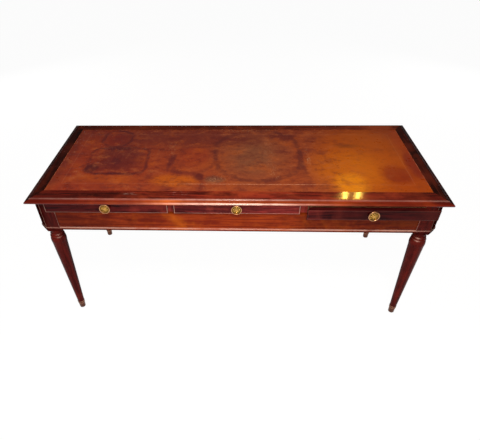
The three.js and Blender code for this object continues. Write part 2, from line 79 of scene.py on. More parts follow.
left_edge, right_edge = corners("edge_moulding_left")[0][0], corners("edge_moulding_right")[1][0]
front_edge, back_edge = corners("edge_moulding_front")[0][1], corners("edge_moulding_back")[1][1]
middle_y = (front_edge + back_edge) / 2
half_length = (right_edge - left_edge) / 2
half_depth = (back_edge - front_edge) / 2
print("top:", round(half_length * 2, 4), "by", round(half_depth * 2, 4), "middle at y", round(middle_y, 4))

# %% [markdown]
# ## The camera
# The photograph looks down on the table from a little right of its middle, and was cropped off centre.
# A lens shift repeats such a crop, while turning the camera would bend the table's lines. So the camera
# stands where the measured lines of the table say, and the shift places the table in the picture.

# %% Camera
CAMERA_PLACE = (0.0128, -1.2008, 1.1515)
CAMERA_TURN = 0.056
CAMERA_TILT = 0.724
CAMERA_ROLL = -0.025
FOCAL_PIXELS = 418.273
PICTURE_PIXELS = 480
CAMERA_LENS_SHARE = FOCAL_PIXELS / PICTURE_PIXELS
SHIFT_SHARES = (0.0392, 0.0693)


def camera_axes(turn, tilt, roll):
    """The camera's right, up and back axes: a turn about Z, a tilt down, then a roll about the view."""
    level_right = np.array([np.cos(turn), np.sin(turn), 0])
    level_ahead = np.array([-np.sin(turn), np.cos(turn), 0])
    upright = np.array([0, 0, 1])
    ahead = np.cos(tilt) * level_ahead - np.sin(tilt) * upright
    above = np.sin(tilt) * level_ahead + np.cos(tilt) * upright
    right = np.cos(roll) * level_right + np.sin(roll) * above
    up = np.cos(roll) * above - np.sin(roll) * level_right
    return right, up, -ahead


def standing(place, right, up, back):
    """Where an object stands, as a matrix: at a place, with its own X, Y and Z along right, up and back."""
    turning = Matrix(np.array([right, up, back]).T.tolist())
    return Matrix.Translation(place) @ turning.to_4x4()


view_axes = camera_axes(CAMERA_TURN, CAMERA_TILT, CAMERA_ROLL)
camera_data = bpy.data.cameras.new("camera")
camera_data.lens = CAMERA_LENS_SHARE * camera_data.sensor_width
camera_data.shift_x, camera_data.shift_y = SHIFT_SHARES
camera = bpy.data.objects.new("camera", camera_data)
bpy.context.scene.collection.objects.link(camera)
camera.matrix_world = standing(CAMERA_PLACE, *view_axes)
bpy.context.scene.camera = camera
print("lens:", round(camera_data.lens, 2), "mm")

# %% [markdown]
# ## Numbers that flow through a material
# A material in Blender is a graph of nodes joined by links. Adding each node by hand takes many lines, so
# one helper adds a node, sets it and fills its inputs. What a node gives out is kept as a signal, which
# knows its own graph. Then plain arithmetic on signals can add the Math nodes, and a finish reads like
# the formula that it is.

# %% Signals
class Signal:
    """What comes out of one socket of a node. Arithmetic on it adds a Math node to the same graph."""

    def __init__(self, socket):
        self.socket = socket
        self.tree = socket.id_data

    def __add__(self, other):
        return maths("ADD", self, other)

    def __sub__(self, other):
        return maths("SUBTRACT", self, other)

    def __rsub__(self, other):
        return maths("SUBTRACT", other, self)

    def __mul__(self, other):
        return maths("MULTIPLY", self, other)

    def __pow__(self, other):
        return maths("POWER", self, other)

    def __abs__(self):
        return maths("ABSOLUTE", self)


def add_node(tree, kind, inputs=None, **settings):
    """Adds a node to a graph. Each input gets a plain value, or a link when it is given a signal."""
    made = tree.nodes.new("ShaderNode" + kind)
    for key, value in settings.items():
        setattr(made, key, value)
    for key, value in (inputs or {}).items():
        if isinstance(value, Signal):
            tree.links.new(value.socket, made.inputs[key])
        else:
            made.inputs[key].default_value = value
    return made


def source(finish, kind, output, inputs=None, **settings):
    """The output of a node that starts a graph, with no signal coming in."""
    return Signal(add_node(finish.node_tree, kind, inputs, **settings).outputs[output])


def step(kind, output, inputs, **settings):
    """The output of a node that at least one signal feeds, added to that signal's own graph."""
    tree = next(value.tree for value in inputs.values() if isinstance(value, Signal))
    return Signal(add_node(tree, kind, inputs, **settings).outputs[output])


def maths(operation, *values):
    """One step of arithmetic on one or two numbers, of which at least one is a signal."""
    return step("Math", 0, dict(enumerate(values)), operation=operation)


print("signals ready")

# %% [markdown]
# ## Small helpers for materials
# A few steps come back in every finish: a colour from the screen, a mix of two colours, a number laid onto
# another range, cloudy noise, and a place that is drawn out so that a pattern on it gets a direction.
# Each has a short name here.

# %% Colours and numbers
def tint(red, green, blue):
    """A colour as it looks on screen, 0 to 255, as the linear colour that a shader works in."""
    screen = np.array([red, green, blue]) / 255
    linear = np.where(screen <= 0.04045, screen / 12.92, ((screen + 0.055) / 1.055) ** 2.4)
    return (*linear.tolist(), 1)


def mixed(share, first, second, mode="MIX"):
    """Two colours, mixed by a share from 0 to 1."""
    return step("Mix", 2, {0: share, 6: first, 7: second}, data_type="RGBA", blend_type=mode)


def mapped(value, low, high, to_low=0.0, to_high=1.0):
    """A number's way from low to high, clamped and eased, laid onto to_low to to_high."""
    return step("MapRange", "Result", {
        "Value": value, "From Min": low, "From Max": high, "To Min": to_low, "To Max": to_high,
    }, interpolation_type="SMOOTHSTEP")


print("a brown on screen is", np.round(tint(120, 60, 30), 3), "in a shader")

# %% Places and patterns
def object_place(finish):
    """Where a point lies on the piece, in metres. Every piece's object sits at the origin."""
    return source(finish, "TexCoord", "Object")


def axis_of(place, axis):
    """One of a place's three numbers."""
    return step("SeparateXYZ", axis, {0: place})


def attribute(finish, name):
    """A number stored on the points of a piece, nought where the piece has none by this name."""
    return source(finish, "Attribute", "Fac", attribute_name=name)


def stretched(place, scale, start=(0, 0, 0)):
    """A place drawn out along each axis and moved by start, so that a pattern on it has a direction."""
    return step("Mapping", "Vector", {"Vector": place, "Location": start, "Scale": scale})


def noise(place, scale, detail=4.0, rough=0.55, warp=0.0):
    """Cloudy noise from 0 to 1 at a place. The scale counts its blotches in a metre."""
    return step("TexNoise", "Fac", {
        "Vector": place, "Scale": scale, "Detail": detail, "Roughness": rough, "Distortion": warp,
    })


def rim_distance(place, box, axes):
    """How far inside a box a place lies: the least of its distances to the sides, along two axes."""
    low, high = box
    gaps = []
    for axis in axes:
        middle, half = float(low[axis] + high[axis]) / 2, float(high[axis] - low[axis]) / 2
        gaps.append(half - abs(axis_of(place, axis) - middle))
    return maths("MINIMUM", *gaps)


print("patterns ready")

# %% Ends of a graph
def new_finish(name):
    """An empty material with a graph."""
    finish = bpy.data.materials.new(name)
    finish.use_nodes = True
    finish.node_tree.nodes.clear()
    return finish


def end_with(finish, shader, kind="OutputMaterial"):
    """Links the last shader of a material, or of the world, to its output."""
    add_node(finish.node_tree, kind, {"Surface": shader})
    return finish


def polish_with(finish, bump=None, **sockets):
    """Ends a material with the Principled shader, whose sockets get the values or signals given."""
    inputs = {key.replace("_", " "): value for key, value in sockets.items()}
    if bump is not None:
        height, strength, depth = bump
        relief = {"Height": height, "Strength": strength, "Distance": depth}
        inputs["Normal"] = step("Bump", "Normal", relief)
    return end_with(finish, source(finish, "BsdfPrincipled", "BSDF", inputs))


print("material helpers ready")

# %% [markdown]
# ## Fine scratches and chips
# Old polish and leather carry short pale scratches, in a few places only. They could be drawn one by one,
# but a noise has many fine lines in it already: the places where it passes its middle value. Soft ovals,
# given as shares of the piece's box, say where those lines show.

# %% Scratches
LINE_VALUES = (0.002, 0.014)
OVAL_EDGE_SHARES = (0.5, 1.3)
SPOT_DEPTH = 0.03


def spots_on(face, box, shares):
    """Ovals on the top or front of a box, as shares of half of it, that fade out over the spot depth."""
    low, high = box
    axes, level = {"top": ((0, 1), high), "front": ((0, 2), low)}[face]
    spots = []
    for middle_share, radius_share, strength in shares:
        middle, radii = level.copy(), np.full(3, SPOT_DEPTH)
        for axis, where, reach in zip(axes, middle_share, radius_share):
            half = (high[axis] - low[axis]) / 2
            middle[axis] = low[axis] + half + where * half
            radii[axis] = reach * half
        spots.append((middle, radii, strength))
    return spots


def scratches(place, spots, lines_per_metre, lean):
    """Thin broken lines, where a noise passes its middle value, near the middle of each soft oval."""
    thin = mapped(abs(noise(stretched(place, lean), lines_per_metre, 3) - 0.5), *LINE_VALUES, 1, 0)
    near = 0.0
    for middle, radii, strength in spots:
        oval = stretched(place, 1 / radii, -middle / radii)
        away = step("VectorMath", "Value", {0: oval}, operation="LENGTH")
        near = maths("MAXIMUM", mapped(away, *OVAL_EDGE_SHARES, strength, 0), near)
    return near * thin


print("scratches ready")

# %% [markdown]
# ## Polished mahogany
# Mahogany has long dark streaks, fine pores and broad cloudy patches under a thick, glossy polish. Noise
# drawn out along the grain gives streaks and pores, and noise left round gives the patches. Each board
# gets the direction of its own grain.

# %% The wood under the polish
GRAINS = {"x": (0.07, 1, 1), "y": (1, 0.07, 1), "z": (1, 1, 0.07)}
STREAKS_PER_METRE = 75
PORES_PER_METRE = 900
PATCHES_PER_METRE = 7
SMEARS_PER_METRE = 22
PORE_DEPTH = 0.00005

tones = {
    "front moulding": ((92, 20, 12), (130, 34, 20), (164, 60, 24)),
    # The sides and back of the moulding are a darker copy of the front's wood: painted shade.
    "shaded moulding": ((24, 8, 7), (48, 17, 14), (70, 26, 20)),
    "front banding": ((80, 22, 14), (148, 47, 29), (176, 70, 36)),
    "side banding": ((32, 10, 7), (68, 24, 16), (98, 36, 22)),
    "back banding": ((72, 25, 15), (124, 49, 30), (152, 65, 33)),
    "rail": ((120, 34, 13), (162, 61, 20), (200, 94, 18)),
    "apron": ((84, 26, 16), (132, 46, 24), (158, 68, 28)),
    "leg": ((66, 15, 12), (96, 25, 20), (120, 37, 27)),
    "left drawer": ((66, 15, 18), (126, 37, 33), (152, 57, 42)),
    "middle drawer": ((80, 22, 24), (150, 50, 45), (180, 76, 56)),
    "right drawer": ((54, 13, 15), (101, 29, 26), (121, 45, 34)),
}


def wood_colour(along, place, tone, pores):
    """Streaks from deep to middle, warm patches over them, and dark pores over both."""
    deep, middle, warm = (tint(*screen) for screen in tones[tone])
    streaks = noise(along, STREAKS_PER_METRE, 5, 0.62, 1.2)
    patches = noise(place, PATCHES_PER_METRE, 4, 0.62, 0.4)
    wood = mixed(mapped(streaks, 0.36, 0.64), deep, middle)
    wood = mixed(mapped(patches, 0.45, 0.68, 0, 0.75), wood, warm)
    return mixed(mapped(pores, 0.56, 0.72, 0, 0.35), wood, deep)


print("tones:", len(tones))

# %% [markdown]
# ## Painted shade, painted highlights and wear
# The polish is pale along its edges, partly from wear and partly as painted highlights, and the nose of
# the front moulding is orange about its middle, a painted highlight; one short stretch of its hollow is
# orange too. Painted shade darkens corners, the undersides of beads, faces under ledges and the ends of a
# board. Attributes stored on a piece say where its painted highlights and wear, its orange and its painted
# shade lie. A board also has a heart, the stretch of its length that stays lit, and the painted shade
# grows away from it. The lip of a drawer has painted shade at its rim and a painted highlight line inside
# it.

# %% Painted shade, painted highlights, wear and the lip's line
HEART_BLUR_SHARE = 0.2
LINE_INSET = 0.0022
LINE_WIDTH = 0.0016
# The tint that painted shade multiplies the wood by; the same painted shade also dulls the gloss.
PAINTED_SHADE_TINT = (0.42, 0.34, 0.4, 1)
# Orange of the front moulding: a painted highlight along its nose, and a streak in its hollow.
SHEEN_AND_STREAK_ORANGE = tint(206, 96, 36)
# Pale polish, for wear and for painted highlights on edges, beads and rings.
PALE_HIGHLIGHT_AND_WEAR = tint(244, 190, 170)

# The heart of a board: its middle and reach, as shares of half the length, and the strength of the painted
# shade beyond it. On the front rail this shade also paints the shadow under the open drawer.
heart_shares = {
    "moulding_mahogany_front": (0, 1, 0.6),
    "rail_mahogany_front": (-0.1, 0.86667, 1),
    "banding_mahogany_front": (0.13333, 1, 1),
    "banding_mahogany_back": (0.83333, 1.66667, 1),
    "banding_mahogany_side": (1, 2, 0.5),
    "drawer_mahogany_left": (-0.03333, 0.66667, 1),
    "drawer_mahogany_middle": (0.06667, 0.5, 1),
    "drawer_mahogany_right": (0.33333, 0.18333, 1),
}


# Painted shade along a board, growing away from its lit heart.
def heart_shade(place, smears, name):
    """Nought at the heart's middle, and its full strength at its reach, both shares of half the length."""
    middle_share, reach_share, strength = heart_shares[name]
    reach = reach_share * half_length
    blur = HEART_BLUR_SHARE * reach
    away = abs(axis_of(place, 0) - middle_share * half_length) + mapped(smears, 0.3, 0.7, -blur, blur)
    return mapped(away, 0.0, reach, 0.0, strength)


def lip_highlight_line(inside, smears, strength):
    """A painted highlight line at its inset from the rim, broken by smears."""
    line = mapped(abs(inside - LINE_INSET), LINE_WIDTH / 2, LINE_WIDTH, strength, 0)
    return line * mapped(smears, 0.3, 0.6, 0.5, 1)


print("boards with a heart:", len(heart_shares))

# %% [markdown]
# ## One function for all polished boards
# Every polished board uses the same function, with its own grain, tone and gloss, so that the boards
# differ as boards from one tree do.

# %% Mahogany
CHIPS_PER_METRE = 40
CHIP_LEAN = (0.22, 2.2, 1)


def mahogany(name, grain, tone, gloss=0.16, shine=0.06, pore_bump=0.2, lip=None, chips=()):
    """Wood with painted shade, painted highlights and wear over it, and a lip's line and chips where given.
    """
    finish = new_finish(name)
    place = object_place(finish)
    along = stretched(place, GRAINS[grain])
    pores = noise(along, PORES_PER_METRE, 2, 0.5)
    smears = noise(place, SMEARS_PER_METRE, 4, 0.65)
    wood = wood_colour(along, place, tone, pores)
    # Painted shade: from the piece's attribute, from the board's heart and at the lip's rim. It also dulls
    # the gloss.
    painted_shade = attribute(finish, "painted_shade")
    # Pale: wear and painted highlights from the piece's attribute, the lip's painted highlight line and the
    # chips.
    highlight_and_wear_share = attribute(finish, "wear_and_highlight") * mapped(smears, 0.3, 0.6, 0.45, 1)
    if name in heart_shares:
        painted_shade = maths("MAXIMUM", painted_shade, heart_shade(place, smears, name))
    if lip is not None:
        box, strength = lip
        # The lip gets painted shade at its rim, where it meets the frame, and a painted highlight line
        # inside it.
        inside = rim_distance(place, box, (0, 2))
        painted_shade = maths("MAXIMUM", painted_shade, mapped(inside, LINE_INSET / 5, LINE_INSET / 2, 1, 0))
        highlight_and_wear_share = maths("MAXIMUM", highlight_and_wear_share, lip_highlight_line(inside, smears, strength))
    if chips:
        highlight_and_wear_share = maths("MAXIMUM", highlight_and_wear_share, scratches(place, chips, CHIPS_PER_METRE, CHIP_LEAN))
    # Orange on the front moulding: a painted highlight on the nose and a streak in the hollow.
    sheen_and_orange_share = attribute(finish, "sheen_and_orange") * mapped(smears, 0.3, 0.6, 0.5, 1)
    wood = mixed(painted_shade, wood, mixed(1.0, wood, PAINTED_SHADE_TINT, "MULTIPLY"))
    wood = mixed(sheen_and_orange_share, wood, SHEEN_AND_STREAK_ORANGE)
    return polish_with(
        finish, bump=(pores, pore_bump, PORE_DEPTH), Base_Color=mixed(highlight_and_wear_share, wood, PALE_HIGHLIGHT_AND_WEAR),
        Roughness=mapped(smears, 0.3, 0.75, gloss, gloss + 0.1),
        Specular_IOR_Level=mapped(attribute(finish, "painted_shade"), 0.2, 1.0, shine, 0.0))


moulding_front = mahogany("moulding_mahogany_front", "x", "front moulding", shine=0.25)
moulding_back = mahogany("moulding_mahogany_back", "x", "shaded moulding")
moulding_side = mahogany("moulding_mahogany_side", "y", "shaded moulding")
rail_front = mahogany("rail_mahogany_front", "x", "rail")
rail_back = mahogany("rail_mahogany_back", "x", "apron")
rail_side = mahogany("rail_mahogany_side", "y", "apron")
divider_wood = mahogany("divider_mahogany", "z", "left drawer")
leg_wood = mahogany("leg_mahogany", "z", "leg", shine=0.04)
print("mahogany finishes:", len(bpy.data.materials))

# %% [markdown]
# ## Bandings and drawer fronts
# The bandings round the leather have the highest gloss. The front one is chipped in three places, and the
# middle drawer's front in one. A drawer's painted highlight line and the painted shade at its rim follow
# the rim of its own solid, so each front gets its own finish. Each chip is an oval: its middle, its radii
# and its strength.

# %% Finishes of the bandings and drawer fronts
BAND_FRONT_GLOSS = 0.06
BAND_FRONT_SHINE = 0.4
BAND_GLOSS = 0.12
band_chip_shares = [
    ((-0.516, 0.214), (0.0516, 0.428), 0.3),
    ((-0.2752, 0.214), (0.0602, 0.535), 0.35),
    ((0.2356, 0.535), (0.043, 0.321), 0.3),
]
drawer_chip_shares = {"left": [], "middle": [((-0.6266, 0.249), (0.0887, 0.36), 0.5)], "right": []}
# The strength of each drawer's painted highlight line.
line_shares = {"left": 0.3, "middle": 0.4, "right": 0.03}

band_front = mahogany("banding_mahogany_front", "x", "front banding", BAND_FRONT_GLOSS, BAND_FRONT_SHINE,
                      pore_bump=0, chips=spots_on("top", corners("banding_front"), band_chip_shares))
band_back = mahogany("banding_mahogany_back", "x", "back banding", BAND_GLOSS, BAND_GLOSS)
band_side = mahogany("banding_mahogany_side", "y", "side banding", BAND_GLOSS, BAND_GLOSS)
drawer_finishes = {}
for drawer, line_share in line_shares.items():
    front = corners(f"drawer_{drawer}_front")
    chips = spots_on("front", front, drawer_chip_shares[drawer])
    drawer_finishes[drawer] = mahogany(
        f"drawer_mahogany_{drawer}", "x", f"{drawer} drawer", lip=(front, line_share), chips=chips)
print("drawer finishes:", *drawer_finishes)

# %% [markdown]
# ## Plain wood of the carcase
# Drawer sides, runners and glue blocks are planed and left bare. Rings of a softer wood show as long
# bands, so the same drawn-out noise serves, paler and without gloss.

# %% Carcase wood
BANDS_PER_METRE = 30
FIBRES_PER_METRE = 700


def carcase_wood(name, grain):
    """Pale wood with long bands and fine fibres, darkened a little in patches by age."""
    finish = new_finish(name)
    place = object_place(finish)
    along = stretched(place, GRAINS[grain])
    bands = noise(along, BANDS_PER_METRE, 4, 0.6, 1.5)
    fibres = noise(along, FIBRES_PER_METRE, 2)
    age = noise(place, PATCHES_PER_METRE, 4, 0.6)
    wood = mixed(mapped(bands, 0.35, 0.65), tint(118, 84, 54), tint(156, 120, 82))
    wood = mixed(mapped(age, 0.4, 0.75, 0, 0.6), wood, tint(88, 60, 38))
    wood = mixed(mapped(fibres, 0.5, 0.7, 0, 0.3), wood, tint(74, 50, 32))
    return polish_with(
        finish, bump=(fibres, 0.3, PORE_DEPTH), Base_Color=wood, Roughness=0.72, Specular_IOR_Level=0.3)


plain_x = carcase_wood("carcase_wood_along", "x")
plain_y = carcase_wood("carcase_wood_across", "y")
print("carcase wood:", plain_x.name, plain_y.name)

# %% [markdown]
# ## Brass
# The knobs and foot caps are lacquered brass that has dulled in its hollows, and the rims of the knobs
# are redder than their middles. Attributes on each piece say how deep a point lies and where its rim is,
# and noise breaks up the tarnish between.

# %% Brass
TARNISH_PER_METRE = 260
RED_BRASS = tint(210, 150, 120)
RIM_REDNESS = 0.6


def brass(name, bright, dull, gloss):
    """Metal that is bright where it stands proud, dull in its hollows and reddish on its rim."""
    finish = new_finish(name)
    blotches = noise(object_place(finish), TARNISH_PER_METRE, 4, 0.6)
    tarnish = attribute(finish, "hollow") * 0.9 + mapped(blotches, 0.45, 0.8, 0, 0.5)
    colour = mixed(maths("MINIMUM", tarnish, 1.0), bright, dull)
    colour = mixed(attribute(finish, "rim") * RIM_REDNESS, colour, RED_BRASS)
    return polish_with(
        finish, bump=(blotches, 0.12, PORE_DEPTH), Base_Color=colour, Metallic=1.0,
        Roughness=mapped(blotches, 0.3, 0.8, gloss, gloss + 0.2))


knob_brass = brass("knob_brass", tint(212, 162, 84), tint(104, 74, 14), 0.3)
cap_brass = brass("cap_brass", tint(168, 116, 92), tint(84, 50, 38), 0.36)
print("brass:", knob_brass.name, cap_brass.name)

# %% [markdown]
# ## Surfaces from numpy
# A moulding, a rail and a turned leg are all a profile carried along a path. Here the points of such a
# surface are worked out as one whole grid, rows along the path and columns round the profile, and then
# handed to Blender at once. The same few functions build every new piece of this table.

# %% Profiles and grids
SEAT_GAP = 0.0003


def curve(centre, radii, first, last, steps):
    """Points on an ellipse between two angles in degrees: centre plus radii times cosine and sine."""
    angle = np.radians(np.linspace(first, last, steps + 1))
    across, up = centre[0] + radii[0] * np.cos(angle), centre[1] + radii[1] * np.sin(angle)
    return np.stack([across, up], axis=1)


def joined(parts):
    """One profile from its parts, each a row of points."""
    return np.concatenate([np.array(part) for part in parts])


def bell(value, centre, width):
    """A bell curve: one at the centre, falling off to either side over the width."""
    return np.exp(-((value - centre) / width) ** 2)


def grid_faces(rows, columns):
    """Squares between neighbouring points of a grid whose last column joins the first, and its two ends."""
    row, column = np.meshgrid(np.arange(rows - 1), np.arange(columns), indexing="ij")
    here = row * columns + column
    beside = row * columns + (column + 1) % columns
    squares = np.stack([here, beside, beside + columns, here + columns], axis=-1).reshape(-1, 4)
    ends = [list(range(columns))[::-1], [(rows - 1) * columns + column for column in range(columns)]]
    return squares.tolist() + ends


def turned_grid(profile, columns):
    """A profile of radius and height turned about Z: x and y are the radius times cosine and sine."""
    angle = np.linspace(0, 2 * np.pi, columns, endpoint=False)
    radius, height = profile[:, :1], profile[:, 1:]
    return np.stack([radius * np.cos(angle), radius * np.sin(angle), height + 0 * angle], axis=-1)


def quarter_turned(points, quarters):
    """Points turned about Z by a number of quarter turns."""
    cosine, sine = np.cos(quarters * np.pi / 2), np.sin(quarters * np.pi / 2)
    x, y, z = points[..., 0], points[..., 1], points[..., 2]
    return np.stack([x * cosine - y * sine, x * sine + y * cosine, z], axis=-1)


print("a quarter of a circle:", curve((0, 0), (1, 1), 0, 90, 4).shape, "points")

# %% One piece from its grids
CREASE_ANGLE = 0.6


def mesh_from(name, points, faces):
    """A mesh whose faces all look outwards."""
    mesh = bpy.data.meshes.new(name)
    mesh.from_pydata(points.tolist(), [], faces)
    work = bmesh.new()
    work.from_mesh(mesh)
    bmesh.ops.recalc_face_normals(work, faces=work.faces[:])
    work.to_mesh(mesh)
    work.free()
    return mesh


def add_piece(name, grids, finish, body, replaced, attributes=None):
    """One object from closed grids. Faces smooth over unless they meet at more than the crease angle."""
    points = np.concatenate([grid.reshape(-1, 3) for grid in grids])
    faces = []
    start = 0
    for grid in grids:
        faces += [[start + corner for corner in face] for face in grid_faces(*grid.shape[:2])]
        start += grid.shape[0] * grid.shape[1]
    mesh = mesh_from(name, points, faces)
    for key, values in (attributes or {}).items():
        stored = mesh.attributes.new(key, "FLOAT", "POINT")
        stored.data.foreach_set("value", np.ravel(values).astype(np.float32))
    mesh.shade_smooth()
    mesh.set_sharp_from_angle(angle=CREASE_ANGLE)
    mesh.materials.append(finish)
    piece = bpy.data.objects.new(name, mesh)
    bpy.context.scene.collection.objects.link(piece)
    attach(piece, body)
    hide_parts(replaced)
    return piece


print("faces smooth over up to", CREASE_ANGLE, "radians")

# %% [markdown]
# ## Edge mouldings
# Each is a strip planed to a small upper arris, a hollow and a round nose, and mitred at its ends. Its
# profile is a row of arcs. Carried along the edge, every point of it stops short of the corner by its own
# distance from the edge, and that is what cuts the mitre. A slow wave of a tenth of a millimetre keeps
# the highlights from being ruler straight.

# %% Section of the edge mouldings
MOULDING_FLARE = 0.013
MOULDING_FLAT = 0.005
MOULDING_FACE = 0.013
ARRIS_RADIUS = 0.0014
NOSE_RADIUS = 0.004
WAVE = 0.00012
WAVES_PER_METRE = 9
MOULDING_STATIONS = 160


def moulding_profile():
    """Inset from the outer edge and height, from the inner top corner over the arris, hollow and nose."""
    underside = TABLE_HEIGHT - MOULDING_FACE
    arris_foot = TABLE_HEIGHT - ARRIS_RADIUS
    hollow = MOULDING_FLARE - NOSE_RADIUS, underside + NOSE_RADIUS * 2 - arris_foot
    width = MOULDING_FLARE + MOULDING_FLAT
    return joined([
        [[width, underside], [width, TABLE_HEIGHT]],
        curve((MOULDING_FLARE + ARRIS_RADIUS, arris_foot), (ARRIS_RADIUS, ARRIS_RADIUS), 90, 180, 8),
        curve((NOSE_RADIUS, arris_foot), hollow, 0, 90, 16)[1:],
        curve((NOSE_RADIUS, underside + NOSE_RADIUS), (NOSE_RADIUS, NOSE_RADIUS), 90, 270, 24)[1:],
    ])


def mitred_strip(profile, half, reach):
    """The profile along X. A point ends at half minus its inset, and lies its inset inside the reach."""
    along = np.linspace(-1, 1, MOULDING_STATIONS)[:, None]
    inset, height = profile[:, 0][None, :], profile[:, 1][None, :]
    x = along * (half - inset)
    wave = WAVE * np.sin(x * WAVES_PER_METRE * 2 * np.pi) * np.sin(x * WAVES_PER_METRE * 3)
    exposed = (inset < MOULDING_FLARE) & (height > TABLE_HEIGHT - MOULDING_FACE + WAVE)
    y = inset - reach + np.abs(wave) * exposed
    return np.stack([x, y, height + 0 * x], axis=-1)


moulding_section = moulding_profile()
print("moulding section:", moulding_section.shape)

# %% [markdown]
# ## Painted highlights on the front moulding
# The arris is pale all along, partly wear and partly a painted highlight, and paler near the middle of
# the front edge, where the nose carries a bright painted highlight. About that the nose is orange in a
# longer stretch, the fading edge of the painted highlight, and one short stretch of the hollow is orange
# too. Each stretch is a bell curve along the length, times another over the height or the inset.

# %% Place the mouldings
NOSE_CREST = TABLE_HEIGHT - MOULDING_FACE + NOSE_RADIUS * 1.5
NOSE_HIGHLIGHT_STRETCH = (0.0, 0.16)
NOSE_SHEEN_STRETCH = (0.0, 0.32)
HOLLOW_ORANGE_STRETCH = (-0.19, 0.045)
ARRIS_WEAR_AND_HIGHLIGHT = 0.2
ARRIS_HIGHLIGHT_GAIN = 0.4
NOSE_HIGHLIGHT = 1.9
NOSE_SHEEN = 0.5
HOLLOW_ORANGE = 0.7


def moulding_highlight_and_wear(profile, x):
    """Pale along the arris, wear and painted highlight, and a painted highlight on the nose near the
    middle.
    """
    inset, height = profile[:, 0], profile[:, 1]
    on_top = height > TABLE_HEIGHT - ARRIS_RADIUS * 2
    arris = bell(inset, MOULDING_FLARE + ARRIS_RADIUS / 2, ARRIS_RADIUS) * on_top
    nose = bell(height, NOSE_CREST, NOSE_RADIUS / 2) * (inset < NOSE_RADIUS)
    highlight_stretch = bell(x, *NOSE_HIGHLIGHT_STRETCH)
    return arris * (ARRIS_WEAR_AND_HIGHLIGHT + ARRIS_HIGHLIGHT_GAIN * highlight_stretch) + nose * NOSE_HIGHLIGHT * highlight_stretch


def moulding_sheen_and_orange(profile, x):
    """Orange on the nose about the middle, a painted highlight, and in one short stretch of the hollow."""
    proud = profile[:, 0] < MOULDING_FLARE
    nose = bell(profile[:, 1], NOSE_CREST, NOSE_RADIUS) * proud * bell(x, *NOSE_SHEEN_STRETCH)
    return NOSE_SHEEN * nose + HOLLOW_ORANGE * proud * bell(x, *HOLLOW_ORANGE_STRETCH)


sides = [("front", moulding_front), ("right", moulding_side),
         ("back", moulding_back), ("left", moulding_side)]
for quarter, (side, finish) in enumerate(sides):
    half, reach = (half_depth, half_length) if quarter % 2 else (half_length, half_depth)
    flat_strip = mitred_strip(moulding_section, half, reach)
    strip = quarter_turned(flat_strip, quarter) + np.array([0, middle_y, 0])
    marks = {}
    if side == "front":
        x = flat_strip[..., 0]
        marks = {"wear_and_highlight": moulding_highlight_and_wear(moulding_section, x), "sheen_and_orange": moulding_sheen_and_orange(moulding_section, x)}
    add_piece(f"moulding_{side}", [strip], finish, "frame", f"edge_moulding_{side}", marks)
    print("moulding", side, strip.shape)

# %% [markdown]
# ## Leather
# The leather is old, polished and stained: rust red on the left, amber on the right, with dark rings where
# pots have stood, worn places in the middle and fine scratches. The amber on the right is partly the
# leather's own colour and partly a painted reflection of the warm lamps. It could be painted as an image,
# but formulas stay sharp at any size. So each stain is a middle and two radii, as shares of half the
# leather, with a strength and a colour. A ring also has the power of its oval and its width.

# %% Stains, rings and scratches
patch_shares = {
    "pot shade": ((-0.68, -0.02), (0.18, 0.55), 0.8, tint(98, 36, 34)),
    "pot disc": ((-0.74, 0.66), (0.08, 0.26), 0.75, tint(128, 36, 26)),
    "cup shade": ((-0.245, 0.05), (0.11, 0.4), 0.4, tint(146, 46, 26)),
    "brown middle": ((0.1, 0.06), (0.25, 0.95), 0.6, tint(132, 74, 48)),
    "olive middle": ((0.1, 0.0), (0.12, 0.5), 0.4, tint(120, 80, 56)),
    "back shade": ((0.28, 0.72), (0.1, 0.16), 0.65, tint(96, 34, 32)),
    "back left": ((-0.35, 0.7), (0.5, 0.4), 0.6, tint(106, 42, 36)),
    "orange foot": ((-0.33, -0.7), (0.15, 0.18), 0.75, tint(192, 92, 20)),
    "orange left": ((-0.75, -0.66), (0.26, 0.15), 0.4, tint(172, 78, 26)),
    "left side": ((-1.0, 0.0), (0.06, 1.6), 0.6, tint(108, 40, 28)),
    # The amber stains on the right are partly the leather's own colour and partly a painted reflection of
    # the warm lamps.
    "amber right and lamp reflection": ((0.72, 0.1), (0.3, 1.1), 0.55, tint(184, 84, 10)),
    "amber pool and lamp reflection": ((0.62, -0.4), (0.24, 0.7), 0.55, tint(206, 104, 6)),
    "amber heart and lamp reflection": ((0.61, -0.78), (0.1, 0.3), 0.9, tint(228, 128, 8)),
    "brown spot": ((0.66, 0.4), (0.09, 0.08), 0.45, tint(122, 58, 18)),
    "red patch": ((0.87, -0.52), (0.1, 0.32), 0.85, tint(140, 44, 16)),
    "red edge": ((0.99, -0.2), (0.045, 0.5), 0.8, tint(128, 34, 22)),
    "far red": ((1.0, 0.5), (0.06, 0.8), 0.55, tint(156, 56, 24)),
    "purple foot": ((-0.2, -0.6), (0.035, 0.12), 0.8, tint(86, 30, 32)),
    "grey foot": ((-0.11, -0.68), (0.07, 0.11), 0.7, tint(108, 74, 56)),
    "pot corner": ((-0.82, -0.34), (0.05, 0.17), 0.85, tint(66, 22, 32)),
    "pot foot": ((-0.68, -0.52), (0.15, 0.05), 0.6, tint(74, 26, 34)),
    "pot heart": ((-0.69, -0.13), (0.035, 0.1), 0.8, tint(72, 24, 34)),
    "pot bar": ((-0.7, 0.27), (0.11, 0.06), 0.7, tint(78, 26, 32)),
    "cup arc": ((-0.37, -0.16), (0.022, 0.28), 0.6, tint(84, 30, 36)),
    "cup foot": ((-0.315, -0.44), (0.05, 0.07), 0.6, tint(88, 30, 34)),
    "wide side": ((0.372, -0.12), (0.018, 0.5), 0.5, tint(92, 36, 34)),
}
